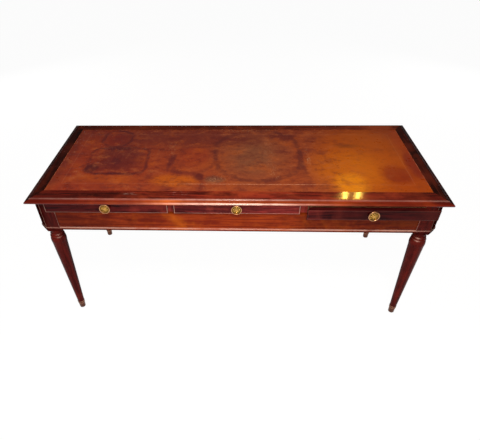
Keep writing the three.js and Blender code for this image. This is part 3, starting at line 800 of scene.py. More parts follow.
ring_shares = {
    "pot square": ((-0.68, -0.1), (0.17, 0.42), 5, 0.045, 0.6, tint(74, 26, 34)),
    "pot rim": ((-0.74, 0.66), (0.095, 0.3), 2, 0.08, 0.8, tint(88, 32, 34)),
    "cup ring": ((-0.245, -0.05), (0.13, 0.44), 2, 0.1, 0.4, tint(94, 34, 34)),
    "wide ring": ((0.13, 0.12), (0.25, 0.82), 2.3, 0.045, 0.6, tint(92, 38, 34)),
}
scratch_shares = {
    "by the ring": ((0.41, 0.0), (0.016, 0.34), 0.6),
    "foot of the ring": ((0.21, -0.48), (0.03, 0.2), 0.6),
    "middle": ((0.19, 0.1), (0.03, 0.5), 0.3),
    "grey foot": ((-0.1, -0.66), (0.07, 0.1), 0.5),
    "by the cup": ((-0.38, 0.3), (0.03, 0.3), 0.35),
    "back": ((0.0, 0.97), (0.25, 0.05), 0.4),
    "front": ((-0.6, -0.9), (0.16, 0.06), 0.14),
    "front middle": ((-0.15, -0.9), (0.2, 0.06), 0.14),
    "pot": ((-0.6, 0.2), (0.2, 0.3), 0.15),
}
print("stains:", len(patch_shares), "rings:", len(ring_shares), "scratched spots:", len(scratch_shares))

# %% [markdown]
# ## The ground of the leather
# Three slow turns of colour go under the stains: rust to brown, brown to amber, which is partly a painted
# reflection of the warm lamps, and dark towards the back.
# Clouds of two sizes mottle them, more on the left than on the right. Noise warps the place first, so
# that no outline on the leather is a true oval.

# %% Leather ground
WARP_PER_METRE = 11
WARP_REACH = 0.045
COARSE_PER_METRE = 12
MIDDLING_PER_METRE = 46
MIDDLING_LEAN = (0.6, 1, 1)
PATCH_EDGE_SHARES = (0.45, 1.2)
CALM_SHARES = (0.50134, 0.75201)
RUST = tint(148, 54, 30)
leather_low, leather_high = corners("leather_inset")
leather_middle = (leather_low + leather_high) / 2
leather_half = (leather_high - leather_low) / 2
turn_shares = {
    "to brown": (0, -0.89526, 0.17905, 1, tint(156, 70, 36)),
    "to amber and lamp reflection": (0, 0.42972, 0.64458, 1, tint(170, 70, 12)),
    "to the back": (1, -0.075, 1.025, 0.55, tint(112, 42, 30)),
}
cloud_shares = [
    ("coarse", 0.5, 0.34, 0.55, tint(104, 38, 34)),
    ("coarse", 0.5, 0.68, 0.4, tint(188, 88, 30)),
    ("middling", 0.5, 0.34, 0.45, tint(92, 30, 30)),
    ("middling", 0.52, 0.7, 0.4, tint(184, 98, 54)),
]


def on_leather(axis, share):
    """Where a share of half the leather lies along an axis, in metres."""
    return leather_middle[axis] + share * leather_half[axis]


def stain_distance(place, middle_share, radius_share, power=2):
    """How far a place is from a stain's middle, 1 on its outline: a rounder or squarer oval by power."""
    middle = leather_middle[:2] + np.array(middle_share) * leather_half[:2]
    radii = np.array(radius_share) * leather_half[:2]
    oval = stretched(place, (*(1 / radii), 1), (*(-middle / radii), 0))
    across, along = (abs(axis_of(oval, axis)) ** power for axis in (0, 1))
    return (across + along) ** (1 / power)


def warped_place(place):
    """A place pushed about by coloured noise, whose three colours are the push along the three axes."""
    clouds = {"Vector": place, "Scale": WARP_PER_METRE, "Detail": 5.0, "Roughness": 0.65}
    centred = step("VectorMath", 0, {0: step("TexNoise", "Color", clouds), 1: (0.5, 0.5, 0.5)},
                   operation="SUBTRACT")
    push = step("VectorMath", 0, {0: centred, "Scale": WARP_REACH}, operation="SCALE")
    return step("VectorMath", 0, {0: place, 1: push}, operation="ADD")


def leather_ground(place, warped):
    """Rust through brown to amber with its stains, mottled by clouds of two sizes."""
    ground = RUST
    for axis, first, last, strength, colour in turn_shares.values():
        turned = mapped(axis_of(warped, axis), on_leather(axis, first), on_leather(axis, last), 0, strength)
        ground = mixed(turned, ground, colour)
    for middle, radii, strength, colour in patch_shares.values():
        away = stain_distance(warped, middle, radii)
        ground = mixed(mapped(away, *PATCH_EDGE_SHARES, strength, 0), ground, colour)
    first, last = (on_leather(0, share) for share in CALM_SHARES)
    calm = mapped(axis_of(warped, 0), first, last, 1, 0.35)
    clouds = {"coarse": noise(place, COARSE_PER_METRE, 7, 0.68),
              "middling": noise(stretched(place, MIDDLING_LEAN), MIDDLING_PER_METRE, 5, 0.66)}
    for size, first, last, strength, colour in cloud_shares:
        ground = mixed(mapped(clouds[size], first, last, 0, strength) * calm, ground, colour)
    return ground


print("leather:", np.round(leather_half * 2, 4))

# %% [markdown]
# ## Rings, scratches and the tooled line
# Over the ground go the rings, broken by blotches, then fine scratches and dark speckles. A line is tooled
# into the leather near its edge. It lies lower than the leather about it and still has some gilding, most
# of it in front. The very edge is pale, partly worn and partly a painted highlight.

# %% Leather finish
TOOLED_INSET = 0.039
TOOLED_WIDTH = 0.0016
EDGE_WIDTH = 0.0022
GRAIN_PER_METRE = 420
SPECKLES_PER_METRE = 130
BLOTCHES_PER_METRE = 34
SCRATCHES_PER_METRE = 44
SCRATCH_LEAN = (2.4, 0.8, 1)
LEATHER_DEPTH = 0.0003
RING_EDGE_SHARES = (0.4, 2)
gilt_shares = ((0.08, -0.9), (0.38, 0.5), 4)


def leather_finish():
    """The ground, then rings, scratches, speckles, the tooled line and the pale edge, wear and highlight.
    """
    finish = new_finish("stained_leather")
    place = object_place(finish)
    warped = warped_place(place)
    base = leather_ground(place, warped)
    speckles = noise(place, SPECKLES_PER_METRE, 4, 0.7)
    blotches = noise(place, BLOTCHES_PER_METRE, 5, 0.65)

    broken = mapped(blotches, 0.38, 0.56, 0.25, 1)
    for middle, radii, power, width, strength, colour in ring_shares.values():
        off_ring = abs(stain_distance(warped, middle, radii, power) - 1.0)
        narrow, wide = (width * share for share in RING_EDGE_SHARES)
        base = mixed(mapped(off_ring, narrow, wide, strength, 0) * broken, base, colour)
    spots = spots_on("top", (leather_low, leather_high), scratch_shares.values())
    base = mixed(scratches(place, spots, SCRATCHES_PER_METRE, SCRATCH_LEAN), base, tint(214, 156, 112))
    base = mixed(mapped(speckles, 0.52, 0.72, 0, 0.25), base, tint(76, 26, 14))

    inside = rim_distance(place, (leather_low, leather_high), (0, 1))
    tooled = mapped(abs(inside - TOOLED_INSET), TOOLED_WIDTH / 2, TOOLED_WIDTH, 1, 0)
    gilding = mapped(stain_distance(place, *gilt_shares), 0.8, 1.2, 0.6, 0.12)
    base = mixed(tooled * gilding * mapped(speckles, 0.4, 0.55, 0.4, 1), base, tint(232, 160, 120))
    # The very edge: pale, partly wear and partly a painted highlight.
    pale_edge_wear_and_highlight = mapped(inside, 0.0, EDGE_WIDTH, 1, 0) * mapped(blotches, 0.42, 0.6, 0.1, 0.8)
    base = mixed(pale_edge_wear_and_highlight, base, tint(220, 128, 92))

    pebbles = step("TexVoronoi", "Distance", {"Vector": place, "Scale": GRAIN_PER_METRE})
    return polish_with(
        finish, bump=(pebbles * 0.35 - tooled * 0.8, 0.3, LEATHER_DEPTH), Base_Color=base,
        Roughness=mapped(blotches, 0.3, 0.7, 0.26, 0.4), Specular_IOR_Level=0.2)


leather = leather_finish()
print("leather nodes:", len(leather.node_tree.nodes))

# %% [markdown]
# ## The leather's surface
# Glued leather is never quite flat: it cushions a little and dips at its edge. The sheet is a grid whose
# height is a sum of slow waves under a rounded rim, closed below by a flat back.

# %% Leather sheet
SHEET_ROWS = 280
SHEET_COLUMNS = 100
CUSHION = 0.00035
RIM_WIDTH = 0.003
LENGTH_WAVES = (23, 11)
DEPTH_WAVES = (31, 17)


def leather_sheet():
    """Height is the top less a share of the cushion from crossing sine waves, and less still at the rim."""
    x = np.linspace(leather_low[0], leather_high[0], SHEET_ROWS)[:, None]
    y = np.linspace(leather_low[1], leather_high[1], SHEET_COLUMNS)[None, :]
    (along, along_bend), (across, across_bend) = LENGTH_WAVES, DEPTH_WAVES
    length_wave = np.sin(x * along + 2 * np.sin(y * across_bend))
    depth_wave = np.sin(y * across + np.sin(x * along_bend))
    waves = length_wave * depth_wave / 2 + 0.5
    end_gap = leather_half[0] - abs(x - leather_middle[0])
    side_gap = leather_half[1] - abs(y - leather_middle[1])
    rim = np.exp(-np.minimum(end_gap, side_gap) / RIM_WIDTH)
    top = leather_high[2] - CUSHION * np.maximum(waves, rim)
    upper = np.stack([x + 0 * y, y + 0 * x, top], axis=-1)
    lower = upper[:, [-1, 0]].copy()
    lower[..., 2] = leather_low[2]
    return np.concatenate([upper, lower], axis=1)


sheet = leather_sheet()
add_piece("leather_sheet", [sheet], leather, "frame", "leather_inset")
print("leather grid:", sheet.shape)

# %% [markdown]
# ## Legs
# A leg is one piece of wood: a square block whose outer corner is canted, with a bead near its foot, and
# a turned part below. The block is a stack of sections, each with its corners rounded by a short curve.
# The turning is a profile of radius against height, taken about the leg's axis. Both lie in one object.

# %% Leg block
BLOCK_SIZE = 0.062
BLOCK_CANT = 0.0215
BLOCK_FOOT = 0.0075
BLOCK_FOOT_INSET = 0.0008
BLOCK_FOOT_CHAMFER = 0.0015
BLOCK_BEAD_SWELL = 0.0016
RAIL_DROP = 0.1135
RAIL_BEAD = 0.0105
QUIRK = 0.001
CORNER_ROUND = 0.0012
ROUND_STEPS = 5
REBATE_DEPTH = 0.003
REBATE_PLAY = 0.0006
rail_bottom = TABLE_HEIGHT - RAIL_DROP
block_bottom = rail_bottom - BLOCK_FOOT
frame_top = TABLE_HEIGHT - MOULDING_FACE - SEAT_GAP
rebate_foot = corners("drawer_left_front")[0][2] - REBATE_PLAY


def block_levels():
    """Swell of the outer faces against height: chamfer, plain foot, round bead, quirk, then the flat face.

    The foot of the rebate stands twice, once with the face still whole.
    """
    bead = curve((0, rail_bottom + RAIL_BEAD / 2), (BLOCK_BEAD_SWELL, RAIL_BEAD / 2), -90, 90, 20)
    bead_top = rail_bottom + RAIL_BEAD
    return np.concatenate([
        [[-BLOCK_FOOT_INSET - BLOCK_FOOT_CHAMFER, block_bottom],
         [-BLOCK_FOOT_INSET, block_bottom + BLOCK_FOOT_CHAMFER], [-BLOCK_FOOT_INSET, rail_bottom]],
        bead[1:], [[-QUIRK, bead_top + QUIRK / 2], [0, bead_top + QUIRK]],
        [[0, rebate_foot], [0, rebate_foot], [0, frame_top]],
    ])


def rebated(plan, start):
    """Two more points on the front face. On the last two levels, what lies past them moves back."""
    face = plan[:, :1, 1] + 0 * plan[:, :2, 1]
    across = np.array([[start, start + SEAT_GAP]]) + 0 * face
    added = np.stack([across, face], axis=-1)
    plan = np.concatenate([plan[:, :ROUND_STEPS], added, plan[:, ROUND_STEPS:]], axis=1)
    pushed = plan[-2:, ROUND_STEPS + 1:, 1]
    plan[-2:, ROUND_STEPS + 1:, 1] = np.maximum(pushed, REBATE_DEPTH - BLOCK_SIZE / 2)
    return plan


def block_grid(rebate_start=None):
    """Five corners per level. Each is cut back to two points on its sides, joined by a quadratic curve."""
    swell, height = block_levels().T
    inner = 0 * swell + BLOCK_SIZE / 2
    outer = inner + swell
    cut = BLOCK_CANT + swell * (2 - np.sqrt(2))
    nearer = cut - outer
    pairs = [(nearer, -outer), (inner, -outer), (inner, inner), (-outer, inner), (-outer, nearer)]
    sharp = np.stack([np.stack(pair, axis=-1) for pair in pairs], axis=1)
    before = np.roll(sharp, 1, axis=1) - sharp
    after = np.roll(sharp, -1, axis=1) - sharp
    start = sharp + CORNER_ROUND * before / np.linalg.norm(before, axis=-1, keepdims=True)
    end = sharp + CORNER_ROUND * after / np.linalg.norm(after, axis=-1, keepdims=True)
    way = np.linspace(0, 1, ROUND_STEPS)[:, None]
    rounded = ((1 - way) ** 2 * start[:, :, None] + 2 * way * (1 - way) * sharp[:, :, None]
               + way ** 2 * end[:, :, None])
    plan = rounded.reshape(len(swell), -1, 2)
    if rebate_start is not None:
        plan = rebated(plan, rebate_start)
    return np.concatenate([plan, np.broadcast_to(height[:, None, None], (*plan.shape[:2], 1))], axis=-1)


print("block sections:", block_grid().shape)

# %% [markdown]
# ## The turning and its cap
# From the block down come a neck, two rings with a hollow between, a full shoulder and a long straight
# taper. The brass cap follows the same taper, with a ring and a rim, so both read one radius function.

# %% Leg turning and foot cap
NECK_RADIUS = 0.0155
NECK_FLARE = 0.0025
NECK_LENGTH = 0.016
NECK_TENON = 0.006
COVE_HEIGHT = 0.004
RING_HEIGHT = 0.005
RING_SPACING = 0.004
UPPER_RING_RADIUS = 0.0195
LOWER_RING_RADIUS = 0.022
RING_RELIEF = 0.0018
FILLET_HEIGHT = 0.0015
SHOULDER_HEIGHT = 0.012
SHOULDER_NECK_RADIUS = 0.0205
SHOULDER_RADIUS = 0.0238
SHOULDER_RETURN = 0.008
SHAFT_RADIUS = 0.0228
FOOT_RADIUS = 0.0097
CAP_HEIGHT = 0.032
CAP_WALL = 0.0012
CAP_SOLE = 0.002
CAP_SOLE_ROUND = 0.0012
CAP_RIM_HEIGHT = 0.0034
CAP_RIM_SWELL = 0.001
CAP_RING_DROP = 0.009
LEG_COLUMNS = 72
SHAFT_STATIONS = 40
POLE_RADIUS = 0.0004
neck_foot = block_bottom - NECK_LENGTH
upper_ring_foot = neck_foot - COVE_HEIGHT - RING_HEIGHT
lower_ring_foot = upper_ring_foot - RING_SPACING - RING_HEIGHT
shoulder_centre = lower_ring_foot - FILLET_HEIGHT - SHOULDER_HEIGHT
shaft_top = shoulder_centre - SHOULDER_RETURN


def taper(height):
    """Radius of the straight taper at a height: it grows evenly from the foot to the top of the shaft."""
    return FOOT_RADIUS + (SHAFT_RADIUS - FOOT_RADIUS) * height / shaft_top


def leg_profile():
    """Radius and height, from the spigot inside the cap, up the taper, shoulder, rings and neck."""
    spigot = CAP_SOLE + SEAT_GAP
    mouth = CAP_HEIGHT + SEAT_GAP
    inset = CAP_WALL + SEAT_GAP
    half_ring = RING_HEIGHT / 2
    ring = half_ring, half_ring
    belly = SHOULDER_RADIUS - SHAFT_RADIUS, SHOULDER_RETURN
    shoulder = SHOULDER_RADIUS - SHOULDER_NECK_RADIUS, SHOULDER_HEIGHT
    cove = NECK_RADIUS - UPPER_RING_RADIUS + half_ring, -COVE_HEIGHT
    rise = np.linspace(mouth, shaft_top, SHAFT_STATIONS)
    parts = [
        [[POLE_RADIUS, spigot], [taper(spigot) - inset, spigot], [taper(mouth) - inset, mouth]],
        np.stack([taper(rise), rise], axis=1),
        curve((SHAFT_RADIUS, shoulder_centre), belly, -90, 0, 8)[1:],
        curve((SHOULDER_NECK_RADIUS, shoulder_centre), shoulder, 0, 90, 14)[1:],
        [[LOWER_RING_RADIUS - RING_RELIEF, lower_ring_foot - FILLET_HEIGHT / 2]],
        curve((LOWER_RING_RADIUS - half_ring, lower_ring_foot + half_ring), ring, -90, 90, 14),
        [[UPPER_RING_RADIUS - RING_RELIEF, upper_ring_foot - RING_SPACING / 2]],
        curve((UPPER_RING_RADIUS - half_ring, upper_ring_foot + half_ring), ring, -90, 90, 14),
        curve((UPPER_RING_RADIUS - half_ring, neck_foot), cove, 90, 0, 6)[1:],
        [[NECK_RADIUS, block_bottom - NECK_FLARE], [NECK_RADIUS + NECK_FLARE, block_bottom],
         [NECK_RADIUS + NECK_FLARE, block_bottom + NECK_TENON], [POLE_RADIUS, block_bottom + NECK_TENON]],
    ]
    return joined(parts)


def cap_profile():
    """Radius and height round the cup: sole, outer wall with ring and rim, mouth, inner wall, floor."""
    ring = CAP_HEIGHT - CAP_RING_DROP
    half = CAP_RIM_HEIGHT / 2
    rim = CAP_HEIGHT - half
    swell = CAP_RIM_SWELL, half
    rounding = CAP_SOLE_ROUND, CAP_SOLE_ROUND
    parts = [
        [[POLE_RADIUS, 0]],
        curve((taper(CAP_SOLE_ROUND) - CAP_SOLE_ROUND, CAP_SOLE_ROUND), rounding, -90, 0, 5),
        curve((taper(ring), ring), swell, -90, 90, 10),
        curve((taper(rim), rim), swell, -90, 90, 10),
        [[taper(CAP_HEIGHT) - CAP_WALL, CAP_HEIGHT], [taper(CAP_SOLE) - CAP_WALL, CAP_SOLE]],
        [[POLE_RADIUS, CAP_SOLE]],
    ]
    return joined(parts)


def cap_hollows(profile):
    """Deep between the ring and the rim: one less how far a point stands out past the taper."""
    proud = (profile[:, 0] - taper(profile[:, 1])) / CAP_RIM_SWELL
    return np.clip(1 - proud, 0, 1)
print("cap:", CAP_HEIGHT, "high, rings at", round(upper_ring_foot, 4), round(lower_ring_foot, 4))

# %% [markdown]
# ## Painted highlights, wear and painted shade of a leg
# Two numbers go onto every point of a leg. The first is high on the rounded corners of the block, wear and
# painted highlight, and on its bead and on the rings where they look to the front and to the middle of the
# table, painted highlights there. The second is painted shade: high on the canted face and under the bead,
# growing round the turning towards its back, and a little on every face of the block, darker and duller.

# %% Painted highlights, wear and painted shade of a leg
BLOCK_CORNERS = 5
BLOCK_WEAR_AND_HIGHLIGHT = 0.3
RING_HIGHLIGHT = 0.9
BLOCK_DARKENING = 0.25
FOOT_SHADE = 0.8
SIDE_SHADE = 0.75
BEAD_CREST_SHARE = 0.85
BLOCK_BEAD_SHARE = 0.12
RING_CREST_SHARE = 0.3
RING_HIGHLIGHT_SHARE = 0.4
RING_FACING_POWER = 18
FACING_SHARES = (0.5, 0.87)


def block_wear_and_highlight(block):
    """Pale corner middles above the bead, wear and painted highlight, and a painted highlight on the bead.
    """
    height = block[..., 2]
    bead = bell(height, rail_bottom + RAIL_BEAD * BEAD_CREST_SHARE, RAIL_BEAD * BLOCK_BEAD_SHARE)
    rounded = np.zeros(block.shape[:2])
    added = block.shape[1] - BLOCK_CORNERS * ROUND_STEPS
    for corner in range(BLOCK_CORNERS):
        first = corner * ROUND_STEPS + (added if corner else 0)
        rounded[1:, first + 1:first + ROUND_STEPS - 1] = 1
    return BLOCK_WEAR_AND_HIGHLIGHT * np.maximum(rounded * (height > rail_bottom + RAIL_BEAD), bead)


def block_shade(block):
    """Painted shade on the canted face and the foot under the bead; every face a little darker and duller.
    """
    off_cant = BLOCK_CANT - BLOCK_SIZE - block[..., 0] - block[..., 1]
    canted = np.clip(off_cant / CORNER_ROUND + 2, 0, 1)
    foot = block[..., 2] < rail_bottom + RAIL_BEAD / 2
    return np.maximum(np.maximum(canted, BLOCK_DARKENING), FOOT_SHADE * foot)


def turning_facing(turning, hand):
    """How far each point of a leg looks to the front and to the middle of the table, from 0 to 1."""
    to_middle, to_front = FACING_SHARES
    radius = np.hypot(turning[..., 0], turning[..., 1])
    return np.clip((hand * to_middle * turning[..., 0] - to_front * turning[..., 1]) / radius, 0, 1)


def turning_highlight(turning, facing):
    """Both rings have painted highlights facing that way: a bell over each, times a high power of facing.
    """
    crests = [foot + RING_HEIGHT * RING_CREST_SHARE for foot in (upper_ring_foot, lower_ring_foot)]
    on_rings = sum(bell(turning[..., 2], crest, RING_HEIGHT * RING_HIGHLIGHT_SHARE) for crest in crests)
    return RING_HIGHLIGHT * facing ** RING_FACING_POWER * on_rings


print("points round a block:", BLOCK_CORNERS * ROUND_STEPS, "round the turning:", LEG_COLUMNS)

# %% [markdown]
# ## Four legs in their places
# The turned grids are made once. Each leg is turned by a quarter more than the last, so that its canted
# corner looks outwards, and then moved to its place, which is the middle of its foot cap. The front blocks
# are let back a little behind the lips of the outer drawers.

# %% Place the legs
turning_grid = turned_grid(leg_profile(), LEG_COLUMNS)
cap_grid = turned_grid(cap_profile(), LEG_COLUMNS)
hollows = np.repeat(cap_hollows(cap_profile()), LEG_COLUMNS)
lip_ends = {"front_left": corners("drawer_left_front")[0][0],
            "front_right": corners("drawer_right_front")[1][0]}
for quarter, corner in enumerate(["front_left", "front_right", "back_right", "back_left"]):
    cap_low, cap_high = corners(f"foot_cap_{corner}")
    place = np.array([*(cap_low + cap_high)[:2] / 2, 0])
    turning = quarter_turned(turning_grid, quarter)
    hand = -np.sign(place[0])
    if corner in lip_ends:
        plain_block = block_grid(hand * (lip_ends[corner] - place[0]) - REBATE_PLAY)
        block = plain_block * np.array([hand, 1, 1])
    else:
        plain_block = block_grid()
        block = quarter_turned(plain_block, quarter)
    # A painted highlight on the rings where they look towards the front and the middle.
    highlight_and_wear_share = turning_highlight(turning, turning_facing(turning, hand))
    # Painted shade: the turning darker as it looks away from the front.
    shade_marks = SIDE_SHADE * (1 - turning_facing(turning, 0)) ** 2
    marks = {"wear_and_highlight": np.concatenate([block_wear_and_highlight(block).ravel(), highlight_and_wear_share.ravel()]),
             "painted_shade": np.concatenate([block_shade(plain_block).ravel(), shade_marks.ravel()])}
    leg = [block + place, turning + place]
    add_piece(f"turned_leg_{corner}", leg, leg_wood, "frame", f"leg_{corner}", marks)
    cap = [quarter_turned(cap_grid, quarter) + place]
    marks = {"hollow": hollows}
    add_piece(f"brass_cap_{corner}", cap, cap_brass, "frame", f"foot_cap_{corner}", marks)
    print(corner, "at", np.round(place[:2], 4))

# %% [markdown]
# ## Rails
# The front rail and the three aprons share one section with a bead along the foot, set off by a quirk.
# A board is that section carried from block to block, and its length and top come from its solid.

# %% Rails and aprons
RAIL_THICKNESS = 0.02
RAIL_BEAD_SWELL = 0.0034
RAIL_STATIONS = 60
RAIL_BEAD_HIGHLIGHT = 0.55
RAIL_BEAD_SHARE = 0.14
TOP_SHADOW_REACH = 0.011


def rail_section(top):
    """Depth behind the face and height: back, bottom, a round bead that swells forward, quirk and face."""
    bead_top = rail_bottom + RAIL_BEAD
    face = np.linspace(bead_top + QUIRK, top, 12)
    parts = [
        [[RAIL_THICKNESS, top], [RAIL_THICKNESS, rail_bottom]],
        curve((0, rail_bottom + RAIL_BEAD / 2), (-RAIL_BEAD_SWELL, RAIL_BEAD / 2), -90, 90, 24),
        [[QUIRK, bead_top + QUIRK / 2]], np.stack([0 * face, face], axis=1),
    ]
    return joined(parts)


def rail_grid(half, outer, top):
    """The section carried along X from minus half to half, with its face at minus outer."""
    depth, height = rail_section(top).T
    along = np.linspace(-half, half, RAIL_STATIONS)[:, None]
    return np.stack([along + 0 * depth, depth - outer + 0 * along, height + 0 * along], axis=-1)


for quarter, (side, node, finish) in enumerate([
        ("front", "front_rail", rail_front), ("right", "side_apron_right", rail_side),
        ("back", "back_apron", rail_back), ("left", "side_apron_left", rail_side)]):
    low, high = (corner - np.array([0, middle_y, 0]) for corner in corners(node))
    long_axis = quarter % 2
    face_axis = 1 - long_axis
    outer = max(abs(low[face_axis]), abs(high[face_axis])) - RAIL_BEAD_SWELL
    board = quarter_turned(rail_grid(high[long_axis], outer, high[2]), quarter) + np.array([0, middle_y, 0])
    depth, height = rail_section(high[2]).T
    # A painted highlight along the upper side of the bead.
    crest = bell(height, rail_bottom + RAIL_BEAD * BEAD_CREST_SHARE, RAIL_BEAD * RAIL_BEAD_SHARE)
    highlight_and_wear_share = crest * (depth < 0) * RAIL_BEAD_HIGHLIGHT
    # A painted shadow on the face just under the top, and painted shade under the bead.
    top_shadow = bell(height, high[2], TOP_SHADOW_REACH) * (depth < QUIRK)
    shade_marks = np.maximum(top_shadow, height < rail_bottom + RAIL_BEAD / 2)
    marks = {"wear_and_highlight": np.tile(highlight_and_wear_share, (RAIL_STATIONS, 1)), "painted_shade": np.tile(shade_marks, (RAIL_STATIONS, 1))}
    add_piece(f"rail_{side}", [board], finish, "frame", node, marks)
    print("rail", side, np.round(high[long_axis] * 2, 4), "long")

# %% [markdown]
# ## Knobs
# Each knob is a cast rosette: a rim round eight petals and a boss, on a short stem whose shank runs through
# the board. It is turned from a profile like the legs, and then the petals are raised by a formula in
# the angle and the radius. Where a point ends up low between petals it is marked as a hollow, for tarnish.

# %% Knobs
KNOB_RADIUS = 0.0152
KNOB_RISE = 0.0034
KNOB_THICKNESS = 0.0052
KNOB_EDGE = 0.0012
KNOB_RIM_WIDTH = 0.0026
KNOB_DISH = 0.002
KNOB_BOSS_RADIUS = 0.0046
KNOB_BOSS_RISE = 0.002
KNOB_STEM_RADIUS = 0.0065
KNOB_FOOT_RADIUS = 0.009
KNOB_FOOT_HEIGHT = 0.0009
PETAL_RISE = 0.0017
PETAL_MARGIN = 0.0012
PETAL_COUNT = 8
PETAL_ROUND_POWER = 0.7
PETAL_ACROSS_POWER = 0.8
PETAL_SHINE_SHARE = 0.75
SHANK_RADIUS = 0.0024
KNOB_COLUMNS = 128
PETAL_ROWS = 22


def knob_grid(shank_end):
    """A turned profile out from the board, then each petal lifted by cosine round and sine across."""
    face = KNOB_RISE + KNOB_THICKNESS
    floor = face - KNOB_DISH
    half_rim = KNOB_RIM_WIDTH / 2
    outer = KNOB_RADIUS - KNOB_RIM_WIDTH - PETAL_MARGIN
    inner = KNOB_BOSS_RADIUS + PETAL_MARGIN
    across = np.linspace(KNOB_RADIUS - KNOB_RIM_WIDTH, KNOB_BOSS_RADIUS, PETAL_ROWS)
    parts = [
        [[POLE_RADIUS, -shank_end], [SHANK_RADIUS, -shank_end], [SHANK_RADIUS, SEAT_GAP],
         [KNOB_FOOT_RADIUS, SEAT_GAP], [KNOB_FOOT_RADIUS, KNOB_FOOT_HEIGHT],
         [KNOB_STEM_RADIUS, KNOB_FOOT_HEIGHT * 2], [KNOB_STEM_RADIUS, KNOB_RISE - KNOB_EDGE],
         [KNOB_RADIUS - KNOB_EDGE, KNOB_RISE], [KNOB_RADIUS, KNOB_RISE + KNOB_EDGE]],
        curve((KNOB_RADIUS - half_rim, face - half_rim), (half_rim, half_rim), 0, 180, 14),
        np.stack([across, 0 * across + floor], axis=1),
        curve((0, floor), (KNOB_BOSS_RADIUS, KNOB_BOSS_RISE), 0, 84, 10)[1:],
    ]
    grid = turned_grid(joined(parts), KNOB_COLUMNS)
    radius = np.hypot(grid[..., 0], grid[..., 1])
    share = np.clip((radius - inner) / (outer - inner), 0, 1)
    angle = np.arctan2(grid[..., 0], grid[..., 1])
    around = np.abs(np.cos(PETAL_COUNT * angle / 2)) ** PETAL_ROUND_POWER
    crest = around * np.sin(np.pi * share ** PETAL_ACROSS_POWER)
    on_floor = grid[..., 2] >= floor - POLE_RADIUS
    inside_rim = radius < KNOB_RADIUS - KNOB_RIM_WIDTH
    hollow = (1 - PETAL_SHINE_SHARE * crest) * on_floor * inside_rim * (share > 0)
    grid[..., 2] += PETAL_RISE * crest * on_floor
    return grid, {"hollow": hollow, "rim": 1.0 * (radius > KNOB_RADIUS - KNOB_RIM_WIDTH)}


def facing_front(points, place):
    """Points made standing up, laid over so that up becomes -Y, at a place."""
    x, y, z = points[..., 0], points[..., 1], points[..., 2]
    return np.stack([x, -z, y], axis=-1) + np.array(place)


for drawer in ("left", "middle", "right"):
    knob_low, knob_high = corners(f"drawer_{drawer}_knob")
    face_y = knob_low[1] + KNOB_RISE + KNOB_THICKNESS
    knob, marks = knob_grid(knob_high[1] - face_y)
    place = ((knob_low[0] + knob_high[0]) / 2, face_y, (knob_low[2] + knob_high[2]) / 2)
    add_piece(f"knob_{drawer}", [facing_front(knob, place)], knob_brass, f"drawer_{drawer}",
              f"drawer_{drawer}_knob", marks)
    print("knob", drawer, "at", np.round(place, 4))

# %% [markdown]
# ## Finishes for the solids that stay
# Boards with plain faces keep their solids and only need a finish, with the grain along the board.

# %% Finishes for the solids
def dress(node, finish):
    """Gives a solid one finish."""
    nodes[node].data.materials.clear()
    nodes[node].data.materials.append(finish)


for side, finish in (("front", band_front), ("right", band_side), ("back", band_back), ("left", band_side)):
    dress(f"banding_{side}", finish)
dress("top_panel", plain_x)
for place in ("left", "middle", "right"):
    dress(f"glue_block_{place}", plain_x)
    dress(f"drawer_{place}_front", drawer_finishes[place])
    dress(f"drawer_{place}_back", plain_x)
    dress(f"drawer_{place}_bottom", plain_x)
    dress(f"drawer_{place}_nut", knob_brass)
    for side in ("left", "right"):
        dress(f"drawer_{place}_side_{side}", plain_y)
for side in ("left", "right"):
    dress(f"divider_{side}", divider_wood)
    for board in ("divider_runner", "side_runner", "side_guide"):
        dress(f"{board}_{side}", plain_y)
print("solids shown:", sum(not node.hide_render for node in nodes.values()))

# %% [markdown]
# ## Floor
# The table stands on a plain white floor. The floor is pale by its own colour and a little light of its
# own that only the camera and reflections see, so it stays white and keeps the shadow.

# %% Floor
FLOOR_REACH = 20.0
FLOOR_POINTS = 9
FLOOR_GLOW_SHARE = 0.9
FLOOR_GLOW = 1.07
FLOOR_WHITE = (0.6, 0.6, 0.6, 1)


def floor_piece():
    """A flat square, as a grid of a few rows and columns."""
    line = np.linspace(-FLOOR_REACH, FLOOR_REACH, FLOOR_POINTS)
    x, y = np.meshgrid(line, line, indexing="ij")
    points = np.stack([x, y, 0 * x], axis=-1).reshape(-1, 3)
    cells = np.arange(FLOOR_POINTS - 1)
    here = (cells[:, None] * FLOOR_POINTS + cells).ravel()
    beyond = here + FLOOR_POINTS
    faces = np.stack([here, beyond, beyond + 1, here + 1], axis=-1)
    mesh = bpy.data.meshes.new("floor")
    mesh.from_pydata(points.tolist(), [], faces.tolist())
    floor = bpy.data.objects.new("floor", mesh)
    bpy.context.scene.collection.objects.link(floor)
    return floor


def floor_finish():
    """A white floor, with a share of plain white added on the rays that look at it or mirror it."""
    finish = new_finish("white_floor")
    seen = source(finish, "LightPath", "Is Camera Ray")
    for kind in ("Is Glossy Ray", "Is Transmission Ray"):
        seen = maths("MAXIMUM", seen, source(finish, "LightPath", kind))
    diffuse = source(finish, "BsdfDiffuse", "BSDF", {"Color": FLOOR_WHITE})
    glow = source(finish, "Emission", "Emission", {"Color": (1, 1, 1, 1), "Strength": FLOOR_GLOW})
    return end_with(finish, step("MixShader", 0, {0: seen * FLOOR_GLOW_SHARE, 1: diffuse, 2: glow}))


floor = floor_piece()
floor.data.materials.append(floor_finish())
floor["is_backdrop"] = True
print("floor:", FLOOR_REACH * 2, "m wide")

